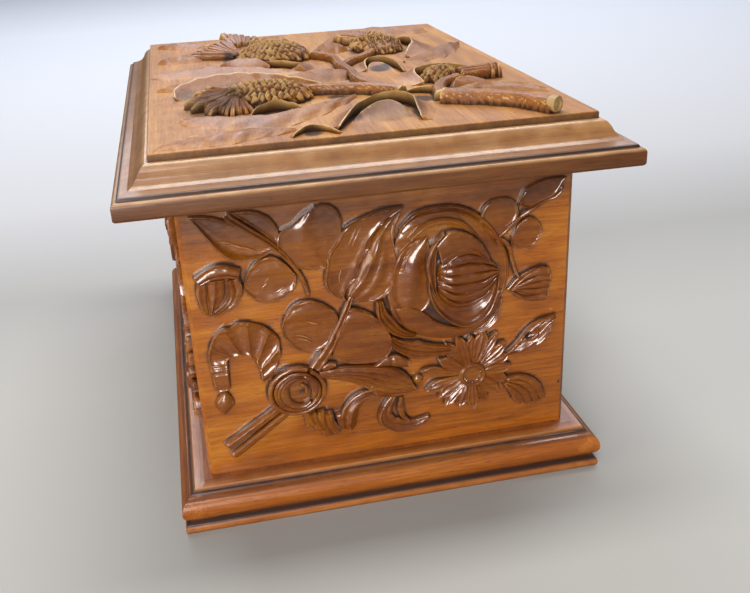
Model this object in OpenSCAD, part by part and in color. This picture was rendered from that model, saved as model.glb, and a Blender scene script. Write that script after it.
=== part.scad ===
// Carved wooden casket with a hinged, moulded lid. Millimetres, +Z up.
// The near carved end faces -Y, the carved front faces -X and the plain back faces +X.

/* [Body] */
// Width of the body across its two long boards
body_w = 180; // [160:1:220]
// Length of the body over its two end boards
body_l = 270; // [240:1:320]
// Height of the body boards
body_h = 139; // [120:1:170]
// Thickness of the boards behind the carving
board_t = 11; // [9:0.5:14]
// Chamfer on the upright corners of the body
corner_chamfer = 2; // [1:0.5:4]
// Depth of the rebate in each end board that takes a long board
rebate = 5; // [3:0.5:6]

/* [Plinth] */
// Height of the plinth moulding
plinth_h = 22; // [18:1:28]
// How far the plinth stands out past the body
plinth_out = 15; // [14:0.5:20]
// Thickness of the plinth moulding lengths
plinth_t = 12; // [11:0.5:14]
// Thickness of the bottom board
bottom_t = 12; // [8:0.5:14]
// Leg of the triangular glue blocks under the bottom board
block_leg = 24; // [16:1:32]

/* [Lid] */
// Thickness of the lid board
lid_t = 19; // [17:0.5:24]
// How far the lid stands out past the body
lid_out = 23; // [21:0.5:28]
// Width of the moulding from the lid's edge to the carved panel
lid_margin = 16; // [15.5:0.5:20]
// Depth of the lid moulding's quirk under the lid's top
quirk_drop = 11; // [10:0.5:12]
// How far the quirk is set in from the lid's edge
quirk_in = 2.6; // [2:0.2:4]
// Height of the quirk's step
quirk_h = 1.1; // [0.8:0.1:1.6]
// Rounding of the edge under the quirk
edge_round = 1.6; // [1:0.1:2]
// Thickness of the carved panel's ground
panel_t = 3; // [2.5:0.5:5]
// Width of the battens under the lid
batten_w = 14; // [10:1:20]
// Thickness of the battens under the lid
batten_t = 8; // [6:0.5:10]
// Distance of each batten's middle from the end of the lid
batten_inset = 66; // [58:1:78]
// Gap between a batten's ends and the long boards
batten_gap = 9; // [8:0.5:14]

/* [Carving] */
// How high the carving of the body stands, as a multiple of the drawn heights
relief = 1; // [0.8:0.05:1.2]
// How high the carving of the lid stands, as a multiple of the drawn heights
lid_relief = 1; // [0.8:0.05:1.2]
// How deep the carved forms run into the board under them
root = 1; // [0.5:0.1:2]

/* [Hinges] */
// Length of each hinge along the back
hinge_l = 46; // [40:1:60]
// Distance of each hinge's middle from the end of the box
hinge_inset = 55; // [45:1:65]
// Thickness of the hinge leaves
leaf_t = 1.5; // [1.2:0.1:2]
// Outer radius of the knuckles
knuckle_r = 3.5; // [3.2:0.1:3.8]
// Radius of the hinge pins
pin_r = 1.1; // [1:0.05:1.4]
// Clearance between a pin and the knuckles round it
pin_gap = 0.05; // [0.03:0.01:0.08]
// Number of knuckles on each hinge
knuckles = 5; // [3:2:7]
// Gap between neighbouring knuckles
knuckle_gap = 0.2; // [0.15:0.05:0.4]
// Shank radius of the hinge screws
screw_r = 1.3; // [1.1:0.1:1.5]
// Length of the hinge screws
screw_l = 10; // [8:0.5:14]

/* [Hidden] */
$fn = 48;

// Levels and outside sizes
seat_z = plinth_h;
rim_z = seat_z + body_h;
lid_top_z = rim_z + lid_t;
lid_w = body_w + 2 * lid_out;
lid_l = body_l + 2 * lid_out;
plinth_w = body_w + 2 * plinth_out;
plinth_l = body_l + 2 * plinth_out;
panel_w = lid_w - 2 * lid_margin;
panel_l = lid_l - 2 * lid_margin;
inner_w = body_w - 2 * board_t;
inner_l = body_l - 2 * board_t;
hinge_y = body_l / 2 - hinge_inset;
batten_y = lid_l / 2 - batten_inset;

// The drawings that the carving follows: the size of the field each was laid out on
end_draw = [180, 139];
long_draw = [270, 139];
lid_draw = [194, 284];
// Steps between two drawn points: on a leaf's outline, and along a strip's line
leaf_steps = 1;
line_steps = 2;

// Screws: bottom board and battens
fix_r = 1.6;
fix_head = 2;
fix_gap = 0.05;
wide_fix_gap = 0.12;
block_fix_l = 24;
batten_fix_l = 16;

// Hinge lines
pin_x = body_w / 2 + knuckle_r;
pin_z = rim_z;
leaf_x = body_w / 2 - board_t + 1;
knuckle_room = 0.6;
knuckle_l = (hinge_l - (knuckles - 1) * knuckle_gap) / knuckles;

wood = [0.55, 0.30, 0.14];
carved = [0.43, 0.22, 0.11];
raw_wood = [0.66, 0.47, 0.28];
brass = [0.75, 0.60, 0.30];
steel = [0.55, 0.55, 0.56];

// Curves: a point between b and c on a smooth line through four drawn points
function bend(a, b, c, d, t) =
    0.5 * (2 * b + (c - a) * t + (2 * a - 5 * b + 4 * c - d) * t * t + (3 * b - a - 3 * c + d) * t * t * t);
function closed_curve(p, n) = [
    for (i = [0:len(p) - 1]) for (k = [0:n - 1])
        bend(p[(i + len(p) - 1) % len(p)], p[i], p[(i + 1) % len(p)], p[(i + 2) % len(p)], k / n)
];
function open_curve(p, n) = concat([
    for (i = [0:len(p) - 2]) for (k = [0:n - 1])
        bend(p[max(i - 1, 0)], p[i], p[i + 1], p[min(i + 2, len(p) - 1)], k / n)
], [p[len(p) - 1]]);
function total(v, i = 0) = i >= len(v) ? 0 : v[i] + total(v, i + 1);
function turn_area(p) = total([
    for (i = [0:len(p) - 1]) let (q = p[(i + 1) % len(p)]) p[i][0] * q[1] - q[0] * p[i][1]
]);
function backwards(p) = [for (i = [len(p) - 1:-1:0]) p[i]];
function anticlockwise(p) = turn_area(p) > 0 ? p : backwards(p);
function middle(p) = [total([for (q = p) q[0]]), total([for (q = p) q[1]])] / len(p);

// Faces that join rings of n points, and the two ways to close them
function side_faces(rings, n) = [
    for (i = [0:rings - 2]) for (j = [0:n - 1]) let (a = i * n + j, b = i * n + (j + 1) % n)
        each [[a, a + n, b + n], [a, b + n, b]]
];
function first_face(n) = [[for (j = [0:n - 1]) j]];
function last_face(rings, n) = [[for (j = [n - 1:-1:0]) (rings - 1) * n + j]];
function peak_faces(rings, n) = [
    for (j = [0:n - 1]) [(rings - 1) * n + (j + 1) % n, (rings - 1) * n + j, rings * n]
];

// A carved leaf or petal: edge is the height of its rim, top the height at its heart
module leaf(outline, edge = 3, top = 4, heart = undef) {
    p = anticlockwise(closed_curve(outline, leaf_steps));
    c = is_undef(heart) ? middle(p) : heart;
    levels = [[1, -root], [0.96, edge]];
    rings = [for (s = levels) for (q = p) [c[0] + (q[0] - c[0]) * s[0], c[1] + (q[1] - c[1]) * s[0], s[1]]];
    polyhedron(
        points = concat(rings, [[c[0], c[1], top]]),
        faces = concat(first_face(len(p)), side_faces(len(levels), len(p)), peak_faces(len(levels), len(p)))
    );
}

// A carved strip along a line: wide holds one width for the whole line or one for each drawn point
module strip(line, wide, high) {
    n = len(line) == 4 || len(line) == 5 ? line_steps : 1;
    p = open_curve(line, n);
    w = is_list(wide) ? open_curve(wide, n) : [for (q = p) wide];
    last = len(p) - 1;
    section = [[0.5, -root], [0.26, high], [-0.26, high], [-0.5, -root]];
    rings = [
        for (i = [0:last])
            let (d = p[min(i + 1, last)] - p[max(i - 1, 0)], u = [-d[1], d[0]] / norm(d))
            for (s = section) [p[i][0] + u[0] * s[0] * w[i], p[i][1] + u[1] * s[0] * w[i], s[1]]
    ];
    polyhedron(
        points = rings,
        faces = concat(
            first_face(len(section)),
            side_faces(last + 1, len(section)),
            last_face(last + 1, len(section))
        )
    );
}

// A thin round stem through the drawn points
module stem(line, r) {
    for (i = [0:len(line) - 2]) hull()
        for (p = [line[i], line[i + 1]])
            translate([p[0], p[1], 0]) cylinder(h = r * 1.6, r1 = r * 1.1, r2 = r * 0.6, $fn = 8);
}

// Flutes that fan out from one line to another
module flutes(from, to, count, wide, high) {
    for (i = [0:count - 1]) let (t = count > 1 ? i / (count - 1) : 0.5)
        strip([from[0] + (from[1] - from[0]) * t, to[0] + (to[1] - to[0]) * t], wide, high);
}

// Full-blown rose, drawn about the middle of the near end's right half
module rose() {
    leaf([[4, 108], [7, 118], [15, 122.5], [24, 124], [32, 123], [39, 120], [45, 114], [50, 104], [52, 92],
          [53, 80], [51, 70], [45, 62.5], [36, 59], [26, 57.5], [14, 59.5], [6, 64], [0, 71], [-3, 79],
          [0, 89], [2, 99]], 2.6, 4, [30, 88]);
    leaf([[11, 108], [5, 102], [2, 94], [1, 86], [4, 79], [10, 76], [17, 78], [18, 86], [19, 95], [20, 103],
          [17, 108]], 5, 6.4);
    leaf([[24, 110], [31, 112], [38, 110], [43, 104], [46, 97], [42, 100], [34, 101], [26, 98], [23, 102]],
         5.6, 6.6);
    strip([[12, 112], [18, 117], [26, 119.5], [34, 117.5], [39, 112], [43, 105], [46, 98]], 4, 5.6);
    strip([[-3.5, 81], [-2, 74], [2, 68], [7, 64], [12, 62.5]], [4, 6, 7, 6, 3], 4.6);
    strip([[2, 75], [9, 68], [18, 64], [28, 62], [38, 63.5], [47, 69], [51, 78]],
          [5, 9, 10, 9, 9, 8, 4], 5.4);
    strip([[18, 79], [21, 72], [27, 68], [34, 66], [42, 69], [48, 77]], [4, 6, 7, 7, 6, 4], 6.6);
    strip([[26, 98], [21, 91], [19.5, 83], [22, 75], [28, 71], [36, 70], [44, 74], [49, 83]], 5, 7.4);
    strip([[25, 111], [21, 105], [19.5, 97], [19.5, 91]], [3, 5, 5, 3], 7.6);
    leaf([[24, 88], [26, 95], [31, 99.5], [38, 100.5], [45, 97], [49, 90], [48, 82], [43, 76.5], [36, 75],
          [29, 78]], 6.5, 9.2);
    flutes([[26, 94], [28, 79]], [[45, 96.5], [47, 80]], 5, 3.4, 9.4);
}

// Fold of outer petals under the rose
module rose_fold() {
    strip([[0, 61], [5, 56], [12, 53], [20, 51.5], [27, 52]], [5, 8, 9, 8, 4], 4.2);
}

// Daisy with a dished middle
daisy_petals = 16;
module daisy() {
    for (i = [0:daisy_petals - 1]) let (a = 360 / daisy_petals * (i + 0.4), r = 19 + 2.5 * cos(a - 150))
        strip([[6 * cos(a), 6 * sin(a)], [12 * cos(a), 12 * sin(a)], [r * cos(a), r * sin(a)]],
              [3, 4.6, 2], 3.4);
    difference() {
        translate([0, 0, -root]) cylinder(h = root + 4.6, r1 = 8.2, r2 = 7, $fn = 12);
        translate([0, 0, 1.6]) cylinder(h = 3.2, r1 = 2.6, r2 = 5.4, $fn = 12);
    }
}

// Pointed leaf with a thick rib, and the round leaflet under it
module corner_leaf() {
    leaf([[-84, 131], [-79.5, 125], [-75.5, 118], [-70, 111.5], [-62, 109.5], [-54, 110], [-49, 113.5],
          [-57, 121], [-66, 127], [-75, 130]], 3, 2.4);
    leaf([[-64, 131], [-56, 130], [-51, 126], [-48.5, 120], [-48, 115], [-56, 121]], 2.6, 2.2);
    strip([[-67, 128], [-57, 121], [-50, 114.5], [-44, 108], [-40, 101.5], [-36, 91]],
          [4.5, 4, 2.6, 2, 1.8, 1.4], 4.2);
    leaf([[-64.5, 95], [-63, 103], [-58, 108], [-52, 109.5], [-45, 105.5], [-40.5, 100], [-41, 94], [-46, 89],
          [-52, 87.5], [-60, 90]], 3.2, 4);
}

// Four leaves on their double stem
module four_leaves() {
    leaf([[-48, 111], [-49, 117], [-46, 121], [-40, 125], [-35, 127], [-31, 130], [-26, 130.5], [-22, 129],
          [-19, 125], [-21, 116], [-25, 108], [-28, 102], [-36, 101.5], [-43, 105]], 3.4, 3);
    leaf([[8, 125.5], [1, 125.3], [-7, 124], [-15, 121], [-20, 117], [-24, 110], [-27, 102], [-28.5, 96],
          [-26, 89.5], [-20, 85], [-12, 83], [-5, 82.5], [1, 86], [4, 93], [5, 101], [4, 110], [4.5, 118]],
         4.2, 4.6);
    strip([[-3, 118], [-9, 108], [-12.5, 99], [-15.5, 91], [-18, 84]], [1, 1.6, 2, 2.2, 2.4], 5.2);
    leaf([[-36, 86.3], [-43, 84.5], [-48, 79], [-49.5, 73], [-48, 67], [-43, 61.5], [-36, 59.5], [-30, 61.5],
          [-25, 67], [-21.5, 75], [-23, 80], [-29, 84.5]], 3.6, 4.4);
    leaf([[-19.5, 79], [-14, 78.5], [-9, 77], [-5, 73], [-2, 69], [0, 64], [1, 59], [0, 53], [-6, 50],
          [-15, 50.5], [-23, 52.5], [-27.5, 57], [-26, 63], [-23, 70]], 3.6, 4.6);
    stem([[-18, 84], [-21, 76], [-24.5, 69], [-28.5, 62], [-36, 52]], 1.5);
    stem([[-22.5, 75], [-27, 67], [-31, 61]], 1.3);
}

// Leaves and stem at the top right corner
module right_leaves() {
    leaf([[45, 110], [44.5, 118], [47, 121.5], [52, 124], [57, 124], [61, 122], [63, 118], [61, 111],
          [55, 107], [49, 108]], 3, 2.8);
    leaf([[63.5, 126], [70, 129], [78, 130], [85, 130], [83.5, 125], [81, 121], [75, 119], [68, 117.5],
          [63.5, 119]], 2.8, 2.4);
    leaf([[58.5, 101], [59, 107], [63, 111], [68, 113.5], [72, 111], [74.5, 107], [73.5, 102], [70, 99],
          [64, 98]],
         2.8, 3.4);
    stem([[82, 124], [73, 119], [64, 115], [53, 106]], 1.1);
    stem([[45, 112], [50, 107.5], [58.5, 100], [60.5, 88], [64, 83]], 1.1);
}

// Nodding rosebud with its collar
module rosebud() {
    leaf([[-82.5, 104], [-74, 106.5], [-66.5, 105], [-66, 97], [-70, 89], [-76, 85], [-83, 85.5],
          [-83.5, 95]],
         2.4, 3.4);
    strip([[-83, 102.5], [-75, 104.5], [-66.5, 103]], 4.4, 4.8);
    strip([[-81.5, 100], [-81, 87]], 4, 4);
    strip([[-75, 100], [-78.5, 88]], 5, 4.6);
    strip([[-69, 100], [-70, 92], [-77, 85.5]], [4, 6, 3], 4.6);
}

// Scalloped arch of ribbon that ends in a hanging drop
module arch() {
    strip([[-79.8, 72], [-79, 61]], [8, 6], 4.6);
    strip([[-73.5, 74], [-71.5, 62]], [7.5, 4], 4.8);
    strip([[-67, 75.5], [-67.5, 62]], [7.5, 4], 4.8);
    strip([[-60.5, 74], [-64.5, 61.5]], [7.5, 4], 4.8);
    strip([[-54.5, 67], [-62.5, 58]], [8.5, 4], 4.8);
    strip([[-53.5, 57], [-60, 52]], [7, 4], 3.8);
    strip([[-79.5, 60], [-79.5, 47]], [8, 6.5], 3.8);
    leaf([[-79, 46], [-76, 42], [-75, 38], [-77, 35], [-80, 34.5], [-82.5, 37], [-82, 42]], 1.6, 3.8);
}

// Coiled knot of ribbon with its two straight tails
module knot() {
    coil = [for (a = [0:30:350]) [-45 + 12 * cos(a), 41.5 + 11 * sin(a)]];
    strip(coil, 3.4, 4.4);
    leaf([[-54, 41], [-52, 47], [-47, 50], [-42, 49], [-42, 42], [-45, 35.5], [-49, 33.5],
          [-53, 36]], 3, 4.8);
    strip([[-41, 50], [-37, 45], [-37, 38], [-41, 33], [-46, 32]], [3, 5, 6, 4, 2], 4.2);
    strip([[-52.5, 33.5], [-80, 15.5]], 3.4, 3.4);
    strip([[-49.5, 30], [-77.5, 10.5]], 3.4, 3.4);
}

// Broad fluted ribbon and its upper fold
module ribbon() {
    strip([[-31, 50], [-20, 48], [-10, 45.5], [0, 41.5], [7, 36.5], [12, 32]], [3, 7, 12, 15, 13, 5], 4.6);
    strip([[-5, 50], [1, 50.5], [7, 48.5]], [2, 4, 2], 5.2);
    leaf([[11, 37], [13, 40], [16, 39], [16, 36], [13.5, 34.5]], 1.8, 3);
}

// Folded tail of ribbon along the foot of the field
module ribbon_tail() {
    flutes([[-41, 27], [-27, 25]], [[-39, 20], [-28, 14.5]], 4, 4.4, 4.2);
    strip([[-22.5, 25], [-23, 16.5]], [4, 5], 3.6);
    strip([[-19, 20], [-17.5, 28], [-12.5, 32.5], [-6, 32], [2, 29.5]], [6, 7, 4.5, 2, 1.6], 4.4);
    strip([[1.5, 29], [-2, 24], [-3, 19], [0, 15], [6, 12.5], [12, 13], [18, 14.5]],
           [2, 5, 7, 7, 6, 5, 2], 3.2);
}

// Buds round the daisy: ribbed, leafy and bell shaped
module ribbed_bud() {
    flutes([[60, 80], [60, 76]], [[79, 85.5], [77, 73]], 5, 3.8, 4.4);
}
module leafy_bud() {
    strip([[57, 46], [64, 46.5], [70, 50], [76, 56], [81, 62]], [2, 5, 10, 8, 1.5], 3.8);
}
module bell_bud() {
    flutes([[57, 31], [57, 29]], [[78, 16], [67, 15]], 4, [2, 5], 4);
}

// The whole drawing of the near end, and two that share its parts
module end_drawing() {
    rose();
    rose_fold();
    translate([40.5, 36.5, 0]) daisy();
    corner_leaf();
    four_leaves();
    right_leaves();
    rosebud();
    arch();
    knot();
    ribbon();
    ribbon_tail();
    ribbed_bud();
    leafy_bud();
    bell_bud();
}
module far_drawing() {
    translate([-27, 0, 0]) {
        rose();
        rose_fold();
    }
    for (side = [0, 1]) mirror([side, 0, 0]) {
        translate([-34, 0, 0]) four_leaves();
        translate([-12, -2, 0]) ribbon_tail();
        translate([-6, 0, 0]) bell_bud();
    }
}
module long_drawing() {
    translate([-27, 0, 0]) {
        rose();
        rose_fold();
    }
    for (side = [0, 1]) mirror([side, 0, 0]) {
        translate([-38, 0, 0]) four_leaves();
        translate([-44, 0, 0]) corner_leaf();
        translate([-22, 0, 0]) ribbon_tail();
        translate([-106, 40, 0]) daisy();
    }
    translate([-28, 0, 0]) ribbon();
    translate([28, 0, 0]) mirror([1, 0, 0]) ribbon();
}

// A leaf between two lines with as many points, drawn the same way: it rises out of the ground along the
// soft one, and mid and edge say how much of its height it has near its middle and at the crisp one
module swelling_leaf(soft, crisp, high, mid, edge) {
    last = len(soft) - 1;
    ahead = soft[last] - soft[0];
    over = soft[1] - crisp[1];
    on_left = ahead[0] * over[1] - ahead[1] * over[0] > 0;
    rings = [
        for (i = [0:last])
            let (a = soft[i], b = crisp[i], h = 0.2 + high * pow(sin(180 * (0.06 + 0.88 * i / last)), 0.6),
                 foot = b + (a - b) * 0.12, in = b + (a - b) * 0.4)
            each let (section = [[a[0], a[1], -root], [in[0], in[1], mid * h], [b[0], b[1], edge * h],
                                 [foot[0], foot[1], -root]])
            on_left ? section : backwards(section)
    ];
    polyhedron(
        points = rings,
        faces = concat(first_face(4), side_faces(last + 1, 4), last_face(last + 1, 4))
    );
}

// A leaf that swells to a crest and falls to a thin edge
module low_leaf(soft, crisp, high) { swelling_leaf(soft, crisp, high, 1, 0.3); }

// A leaf that curls up to a rim over a hollow
module curled(soft, crisp, high) { swelling_leaf(soft, crisp, high, 0.48, 1); }

// Scaly cup of a thistle, long along x: a dome on an oval
module thistle_cup(long, wide, high) {
    around = 12;
    levels = [[1, -root], [0.94, high * 0.4], [0.72, high * 0.76], [0.36, high * 0.95]];
    rings = [for (s = levels) for (j = [0:around - 1])
        let (a = j * 360 / around) [s[0] * cos(a) * long / 2, s[0] * sin(a) * wide / 2, s[1]]];
    polyhedron(
        points = concat(rings, [[0, 0, high]]),
        faces = concat(first_face(around), side_faces(len(levels), around), peak_faces(len(levels), around))
    );
}

// Flaring tuft of a thistle: flutes fanned out along +x
module tuft(spread, long, count, wide, high) {
    for (i = [0:count - 1]) let (a = spread * (i / (count - 1) - 0.5), far = long * (1 - 0.1 * (i % 3)))
        strip([[3 * cos(a), 0.16 * long * sin(a)], [far * cos(a), far * sin(a)]],
              [wide * 0.8, wide * 1.3], high);
}

// Short spikes round the far side of a cup, fanned out along +x
module crown(spread, long, count, high) {
    for (i = [0:count - 1]) let (a = spread * (i / (count - 1) - 0.5))
        strip([[(long - 6) * cos(a), (long - 6) * sin(a)], [long * cos(a), long * sin(a)]],
              [3.4, 2.6], high);
}

// The branch with its sawn end, and the stems that leave it
module branch() {
    strip([[78.5, -136], [75, -130], [68, -119], [58, -109.5], [48, -103], [39, -97]],
          [7.6, 7.2, 6.4, 7.2, 8.6, 9], 6);
    translate([79.2, -137.2, 3.6]) rotate([0, 90, -58]) translate([0, 0, -3.4]) cylinder(h = 4, r = 3.6);
    strip([[24, -79], [18, -72], [8, -65], [-4, -60], [-16, -58], [-26, -62]], [7.4, 7, 6.4, 5.6, 5, 4], 5);
    strip([[20, -72], [15, -60], [10, -42], [10, -20], [8, 4], [8, 26], [-2, 42]],
          [6, 5.6, 5.2, 4.8, 4.6, 4.4, 4.4], 4.2);
    strip([[8, -2], [16, 12], [26, 24], [36, 40]], [4.4, 4.4, 4.2, 4], 3.8);
    strip([[39, -95], [42, -80], [48, -68], [58, -60]], [7, 6, 5.4, 5], 4.6);
}

// The cut thistle on the right: its cup and the ringed barrel
module cut_thistle() {
    translate([53, -50, 0]) rotate(185) thistle_cup(20, 19, 6.4);
    intersection() {
        translate([70, -52, 1.2]) rotate([0, 90, 4]) {
            translate([0, 0, -11]) cylinder(h = 23, r = 5);
            for (z = [7.4, 11.4]) translate([0, 0, z - 1]) cylinder(h = 2, r = 5.7);
        }
        translate([50, -70, -root]) cube([50, 40, 10]);
    }
}

// The two thistles at the back and the leaves round them
module back_thistles() {
    translate([-23, 50, 0]) rotate(160) thistle_cup(42, 42, 11.3);
    translate([-42, 62, 0]) rotate(87) tuft(24, 49, 3, 5.4, 8);
    translate([-43, 60, 0]) rotate(132) tuft(64, 34, 4, 5, 5.6);
    translate([-27, 52, 0]) rotate(96) crown(62, 30, 4, 7.8);
    translate([41, 54, 0]) rotate(100) thistle_cup(38, 30, 8.6);
    translate([37, 72, 0]) rotate(108) tuft(84, 22, 5, 4.4, 5.4);
    low_leaf([[-56, 36], [-46, 40], [-34, 36], [-28, 24]], [[-58, 26], [-50, 14], [-40, 12], [-30, 18]], 5.4);
    curled([[-32, 34], [-22, 40], [-10, 34], [-6, 20]], [[-34, 30], [-26, 22], [-18, 16], [-8, 16]], 4.2);
    low_leaf([[-2, 62], [6, 74], [16, 76], [24, 64]], [[-4, 40], [6, 46], [14, 50], [22, 56]], 4.8);
    curled([[56, 14], [70, 24], [78, 42], [76, 62], [64, 82]],
           [[50, 20], [55, 30], [60, 44], [61, 60], [58, 76]], 6.2);
    low_leaf([[6, 78], [14, 98], [30, 116], [52, 128], [72, 128], [88, 114]],
             [[8, 68], [20, 80], [34, 90], [50, 98], [68, 100], [86, 104]], 4.2);
    low_leaf([[-92, 124], [-78, 130], [-66, 128], [-58, 120]],
             [[-92, 119], [-82, 112], [-72, 108], [-62, 110]], 2.6);
    low_leaf([[-2, 84], [0, 98], [-6, 114], [-18, 128]], [[-6, 82], [-14, 94], [-20, 108], [-24, 126]], 3);
    low_leaf([[-92, 66], [-84, 76], [-74, 78], [-64, 70]], [[-92, 61], [-84, 58], [-74, 58], [-66, 62]], 3);
    low_leaf([[46, 10], [54, 24], [66, 36], [80, 46], [92, 52]],
             [[46, 2], [60, 4], [74, 14], [85, 30], [92, 48]], 3.4);
    curled([[14, -12], [14, 6], [22, 18], [34, 16], [43, 0], [43, -22]],
           [[21, -12], [22, 0], [27, 6], [33, 3], [37, -8], [38, -24]], 4.8);
    low_leaf([[-10, 18], [-18, 14], [-22, 4], [-14, -6]], [[-4, 10], [-9, 6], [-10, 0], [-10, -6]], 3.4);
}

// The thistle at the front and the leaves round it
module front_thistles() {
    translate([-41, -64, 0]) rotate(185) thistle_cup(46, 31, 10.8);
    translate([-52, -66, 0]) rotate(202) tuft(140, 28, 8, 3.4, 3.4);
    curled([[-78, -46], [-70, -45], [-60, -45], [-50, -46], [-38, -44], [-24, -46], [-8, -50]],
           [[-84, -44], [-83, -33], [-74, -23], [-60, -18], [-44, -20], [-26, -30], [-8, -46]], 6.4);
    low_leaf([[-80, -90], [-68, -88], [-56, -92], [-44, -98], [-30, -94], [-16, -86], [-6, -78], [2, -70]],
             [[-84, -93], [-76, -105], [-62, -116], [-44, -120], [-29, -112], [-17, -100], [-6, -86],
              [3, -73]], 4.8);
    curled([[-55, -93], [-48, -81], [-38, -77], [-28, -81], [-21, -93]],
           [[-51, -98], [-46, -91], [-38, -87], [-31, -91], [-26, -99]], 5.2);
    low_leaf([[-94, -136], [-84, -126], [-70, -123], [-56, -122], [-44, -123], [-34, -125]],
             [[-94, -139], [-82, -138], [-70, -139], [-58, -136], [-46, -131], [-35, -128]], 3.4);
    curled([[-41, -134], [-35, -125], [-28, -122], [-19, -125], [-14, -134]],
           [[-37, -138], [-33, -132], [-28, -130], [-22, -132], [-18, -138]], 2.8);
    low_leaf([[-96, 19], [-93, 31], [-80, 37], [-62, 35], [-44, 25], [-26, 12], [-12, -3]],
             [[-96, 16], [-87, 11], [-72, 8], [-56, 2], [-40, -3], [-26, -7], [-12, -8]], 4.2);
    low_leaf([[-30, -12], [-18, -6], [-4, -6], [6, -10], [12, -18]],
             [[-28, -24], [-18, -31], [-6, -34], [4, -31], [10, -22]], 4.4);
    low_leaf([[-52, -8], [-66, -12], [-80, -12], [-93, -18]],
             [[-50, -14], [-64, -20], [-80, -22], [-93, -21]], 2.6);
}

// The curled leaf at the middle of the near side, and the leaves round the cut thistle
module right_leaves_of_lid() {
    curled([[-26, -128], [-18, -108], [-4, -90], [12, -81], [28, -83], [34, -96], [33, -112], [27, -128]],
           [[-16, -132], [-9, -118], [0, -105], [10, -96], [18, -93], [22, -99], [22, -112], [20, -128]],
           6.4);
    curled([[26, -66], [40, -68], [48, -80], [44, -96]], [[27, -74], [36, -76], [40, -84], [38, -94]], 4.6);
    curled([[30, -58], [26, -42], [32, -24], [50, -15], [70, -18], [88, -34]],
           [[41, -58], [39, -46], [43, -37], [53, -33], [65, -34], [78, -41]], 5.4);
    low_leaf([[46, -82], [50, -68], [60, -64], [70, -70]], [[50, -84], [56, -78], [63, -76], [70, -75]], 4.8);
    low_leaf([[46, -76], [60, -72], [78, -76], [93, -92]], [[46, -86], [60, -84], [76, -88], [92, -98]], 3);
}

// The whole drawing of the lid
module lid_drawing() {
    branch();
    cut_thistle();
    back_thistles();
    front_thistles();
    right_leaves_of_lid();
}

// A drawing set on a field of the given size, with its heights multiplied
module fit_drawing(field, drawn, high) {
    scale([field[0] / drawn[0], field[1] / drawn[1], high]) children();
}

// Turning a drawing up to face the near end, the far end or the front
module face_near() { translate([0, -body_l / 2, seat_z]) rotate([90, 0, 0]) children(); }
module face_far() { translate([0, body_l / 2, seat_z]) rotate([90, 0, 180]) children(); }
module face_front() { translate([-body_w / 2, 0, seat_z]) rotate([90, 0, -90]) children(); }

// Blank of the near end board: chamfered corners, rebated for the long boards
module end_blank() {
    face = -body_l / 2;
    cheek = -inner_l / 2 - rebate;
    translate([0, 0, seat_z]) linear_extrude(body_h) polygon([
        [-body_w / 2, face + corner_chamfer], [-body_w / 2 + corner_chamfer, face],
        [body_w / 2 - corner_chamfer, face], [body_w / 2, face + corner_chamfer],
        [body_w / 2, cheek], [inner_w / 2, cheek], [inner_w / 2, -inner_l / 2],
        [-inner_w / 2, -inner_l / 2], [-inner_w / 2, cheek], [-body_w / 2, cheek]
    ]);
}
module end_board_near() {
    color(carved) union() {
        end_blank();
        face_near() fit_drawing([body_w, body_h], end_draw, relief) end_drawing();
    }
}
module end_board_far() {
    color(carved) union() {
        mirror([0, 1, 0]) end_blank();
        face_far() fit_drawing([body_w, body_h], end_draw, relief) far_drawing();
    }
}
// A long board on the +X side: its ends sit in the rebates
module long_blank() {
    long = inner_l + 2 * rebate;
    translate([inner_w / 2, -long / 2, seat_z]) cube([board_t, long, body_h]);
}
module front_board() {
    color(carved) difference() {
        union() {
            mirror([1, 0, 0]) long_blank();
            face_front() fit_drawing([body_l, body_h], long_draw, relief) long_drawing();
        }
        bottom_fixings(wide_fix_gap, $fn = 12);
    }
}
module back_board() {
    color(wood) difference() {
        long_blank();
        bottom_fixings(fix_gap);
        each_hinge() {
            case_leaf_space();
            leaf_screws(-1, fix_gap);
        }
    }
}

// Bottom board inside the plinth moulding, drilled for the screws into the boards
bottom_w = plinth_w - 2 * plinth_t;
bottom_l = plinth_l - 2 * plinth_t;
module bottom_board() {
    color(raw_wood) difference() {
        translate([-bottom_w / 2, -bottom_l / 2, seat_z - bottom_t]) cube([bottom_w, bottom_l, bottom_t]);
        bottom_fixings(fix_gap);
    }
}

// Countersunk screw pointing up, its head level with z = 0
module wood_screw(r, head, long, gap = 0) {
    translate([0, 0, -gap]) cylinder(h = head + gap, r1 = 2 * r + gap, r2 = r + gap);
    cylinder(h = long - r + gap, r = r + gap);
    translate([0, 0, long - r + gap]) cylinder(h = r, r1 = r + gap, r2 = 0.3);
}
module bottom_fixings(gap = 0) {
    for (x = [-1, 1]) for (y = [-0.3, 0, 0.3])
        translate([x * (body_w - board_t) / 2, y * body_l, seat_z - bottom_t])
            wood_screw(fix_r, fix_head, block_fix_l, gap);
}
module bottom_screws() { color(steel) bottom_fixings(); }

// Plinth section: foot lip, groove, large bead, quirk and sloping shelf, from the inner face outwards
bead_r = plinth_h * 0.295;
bead_z = plinth_h * 0.55;
function plinth_edge(edge) = let (h = plinth_h, r = bead_r) concat(
    [[edge - 1.6, 0], [edge - 0.7, 1.1], [edge - 0.6, 3.4], [edge - 1.6, 4.8]],
    [for (a = [-50:12.5:75]) [edge - r + r * cos(a), bead_z + r * sin(a)]],
    [[edge - r + 0.9, h - 2.6], [edge - r - 0.3, h - 2.3], [edge - r - 0.4, h - 0.8], [edge - plinth_t, h]]
);
// A section with the same edge on both sides
function both_sides(edge) = concat(edge, backwards([for (q = edge) [-q[0], q[1]]]));
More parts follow.
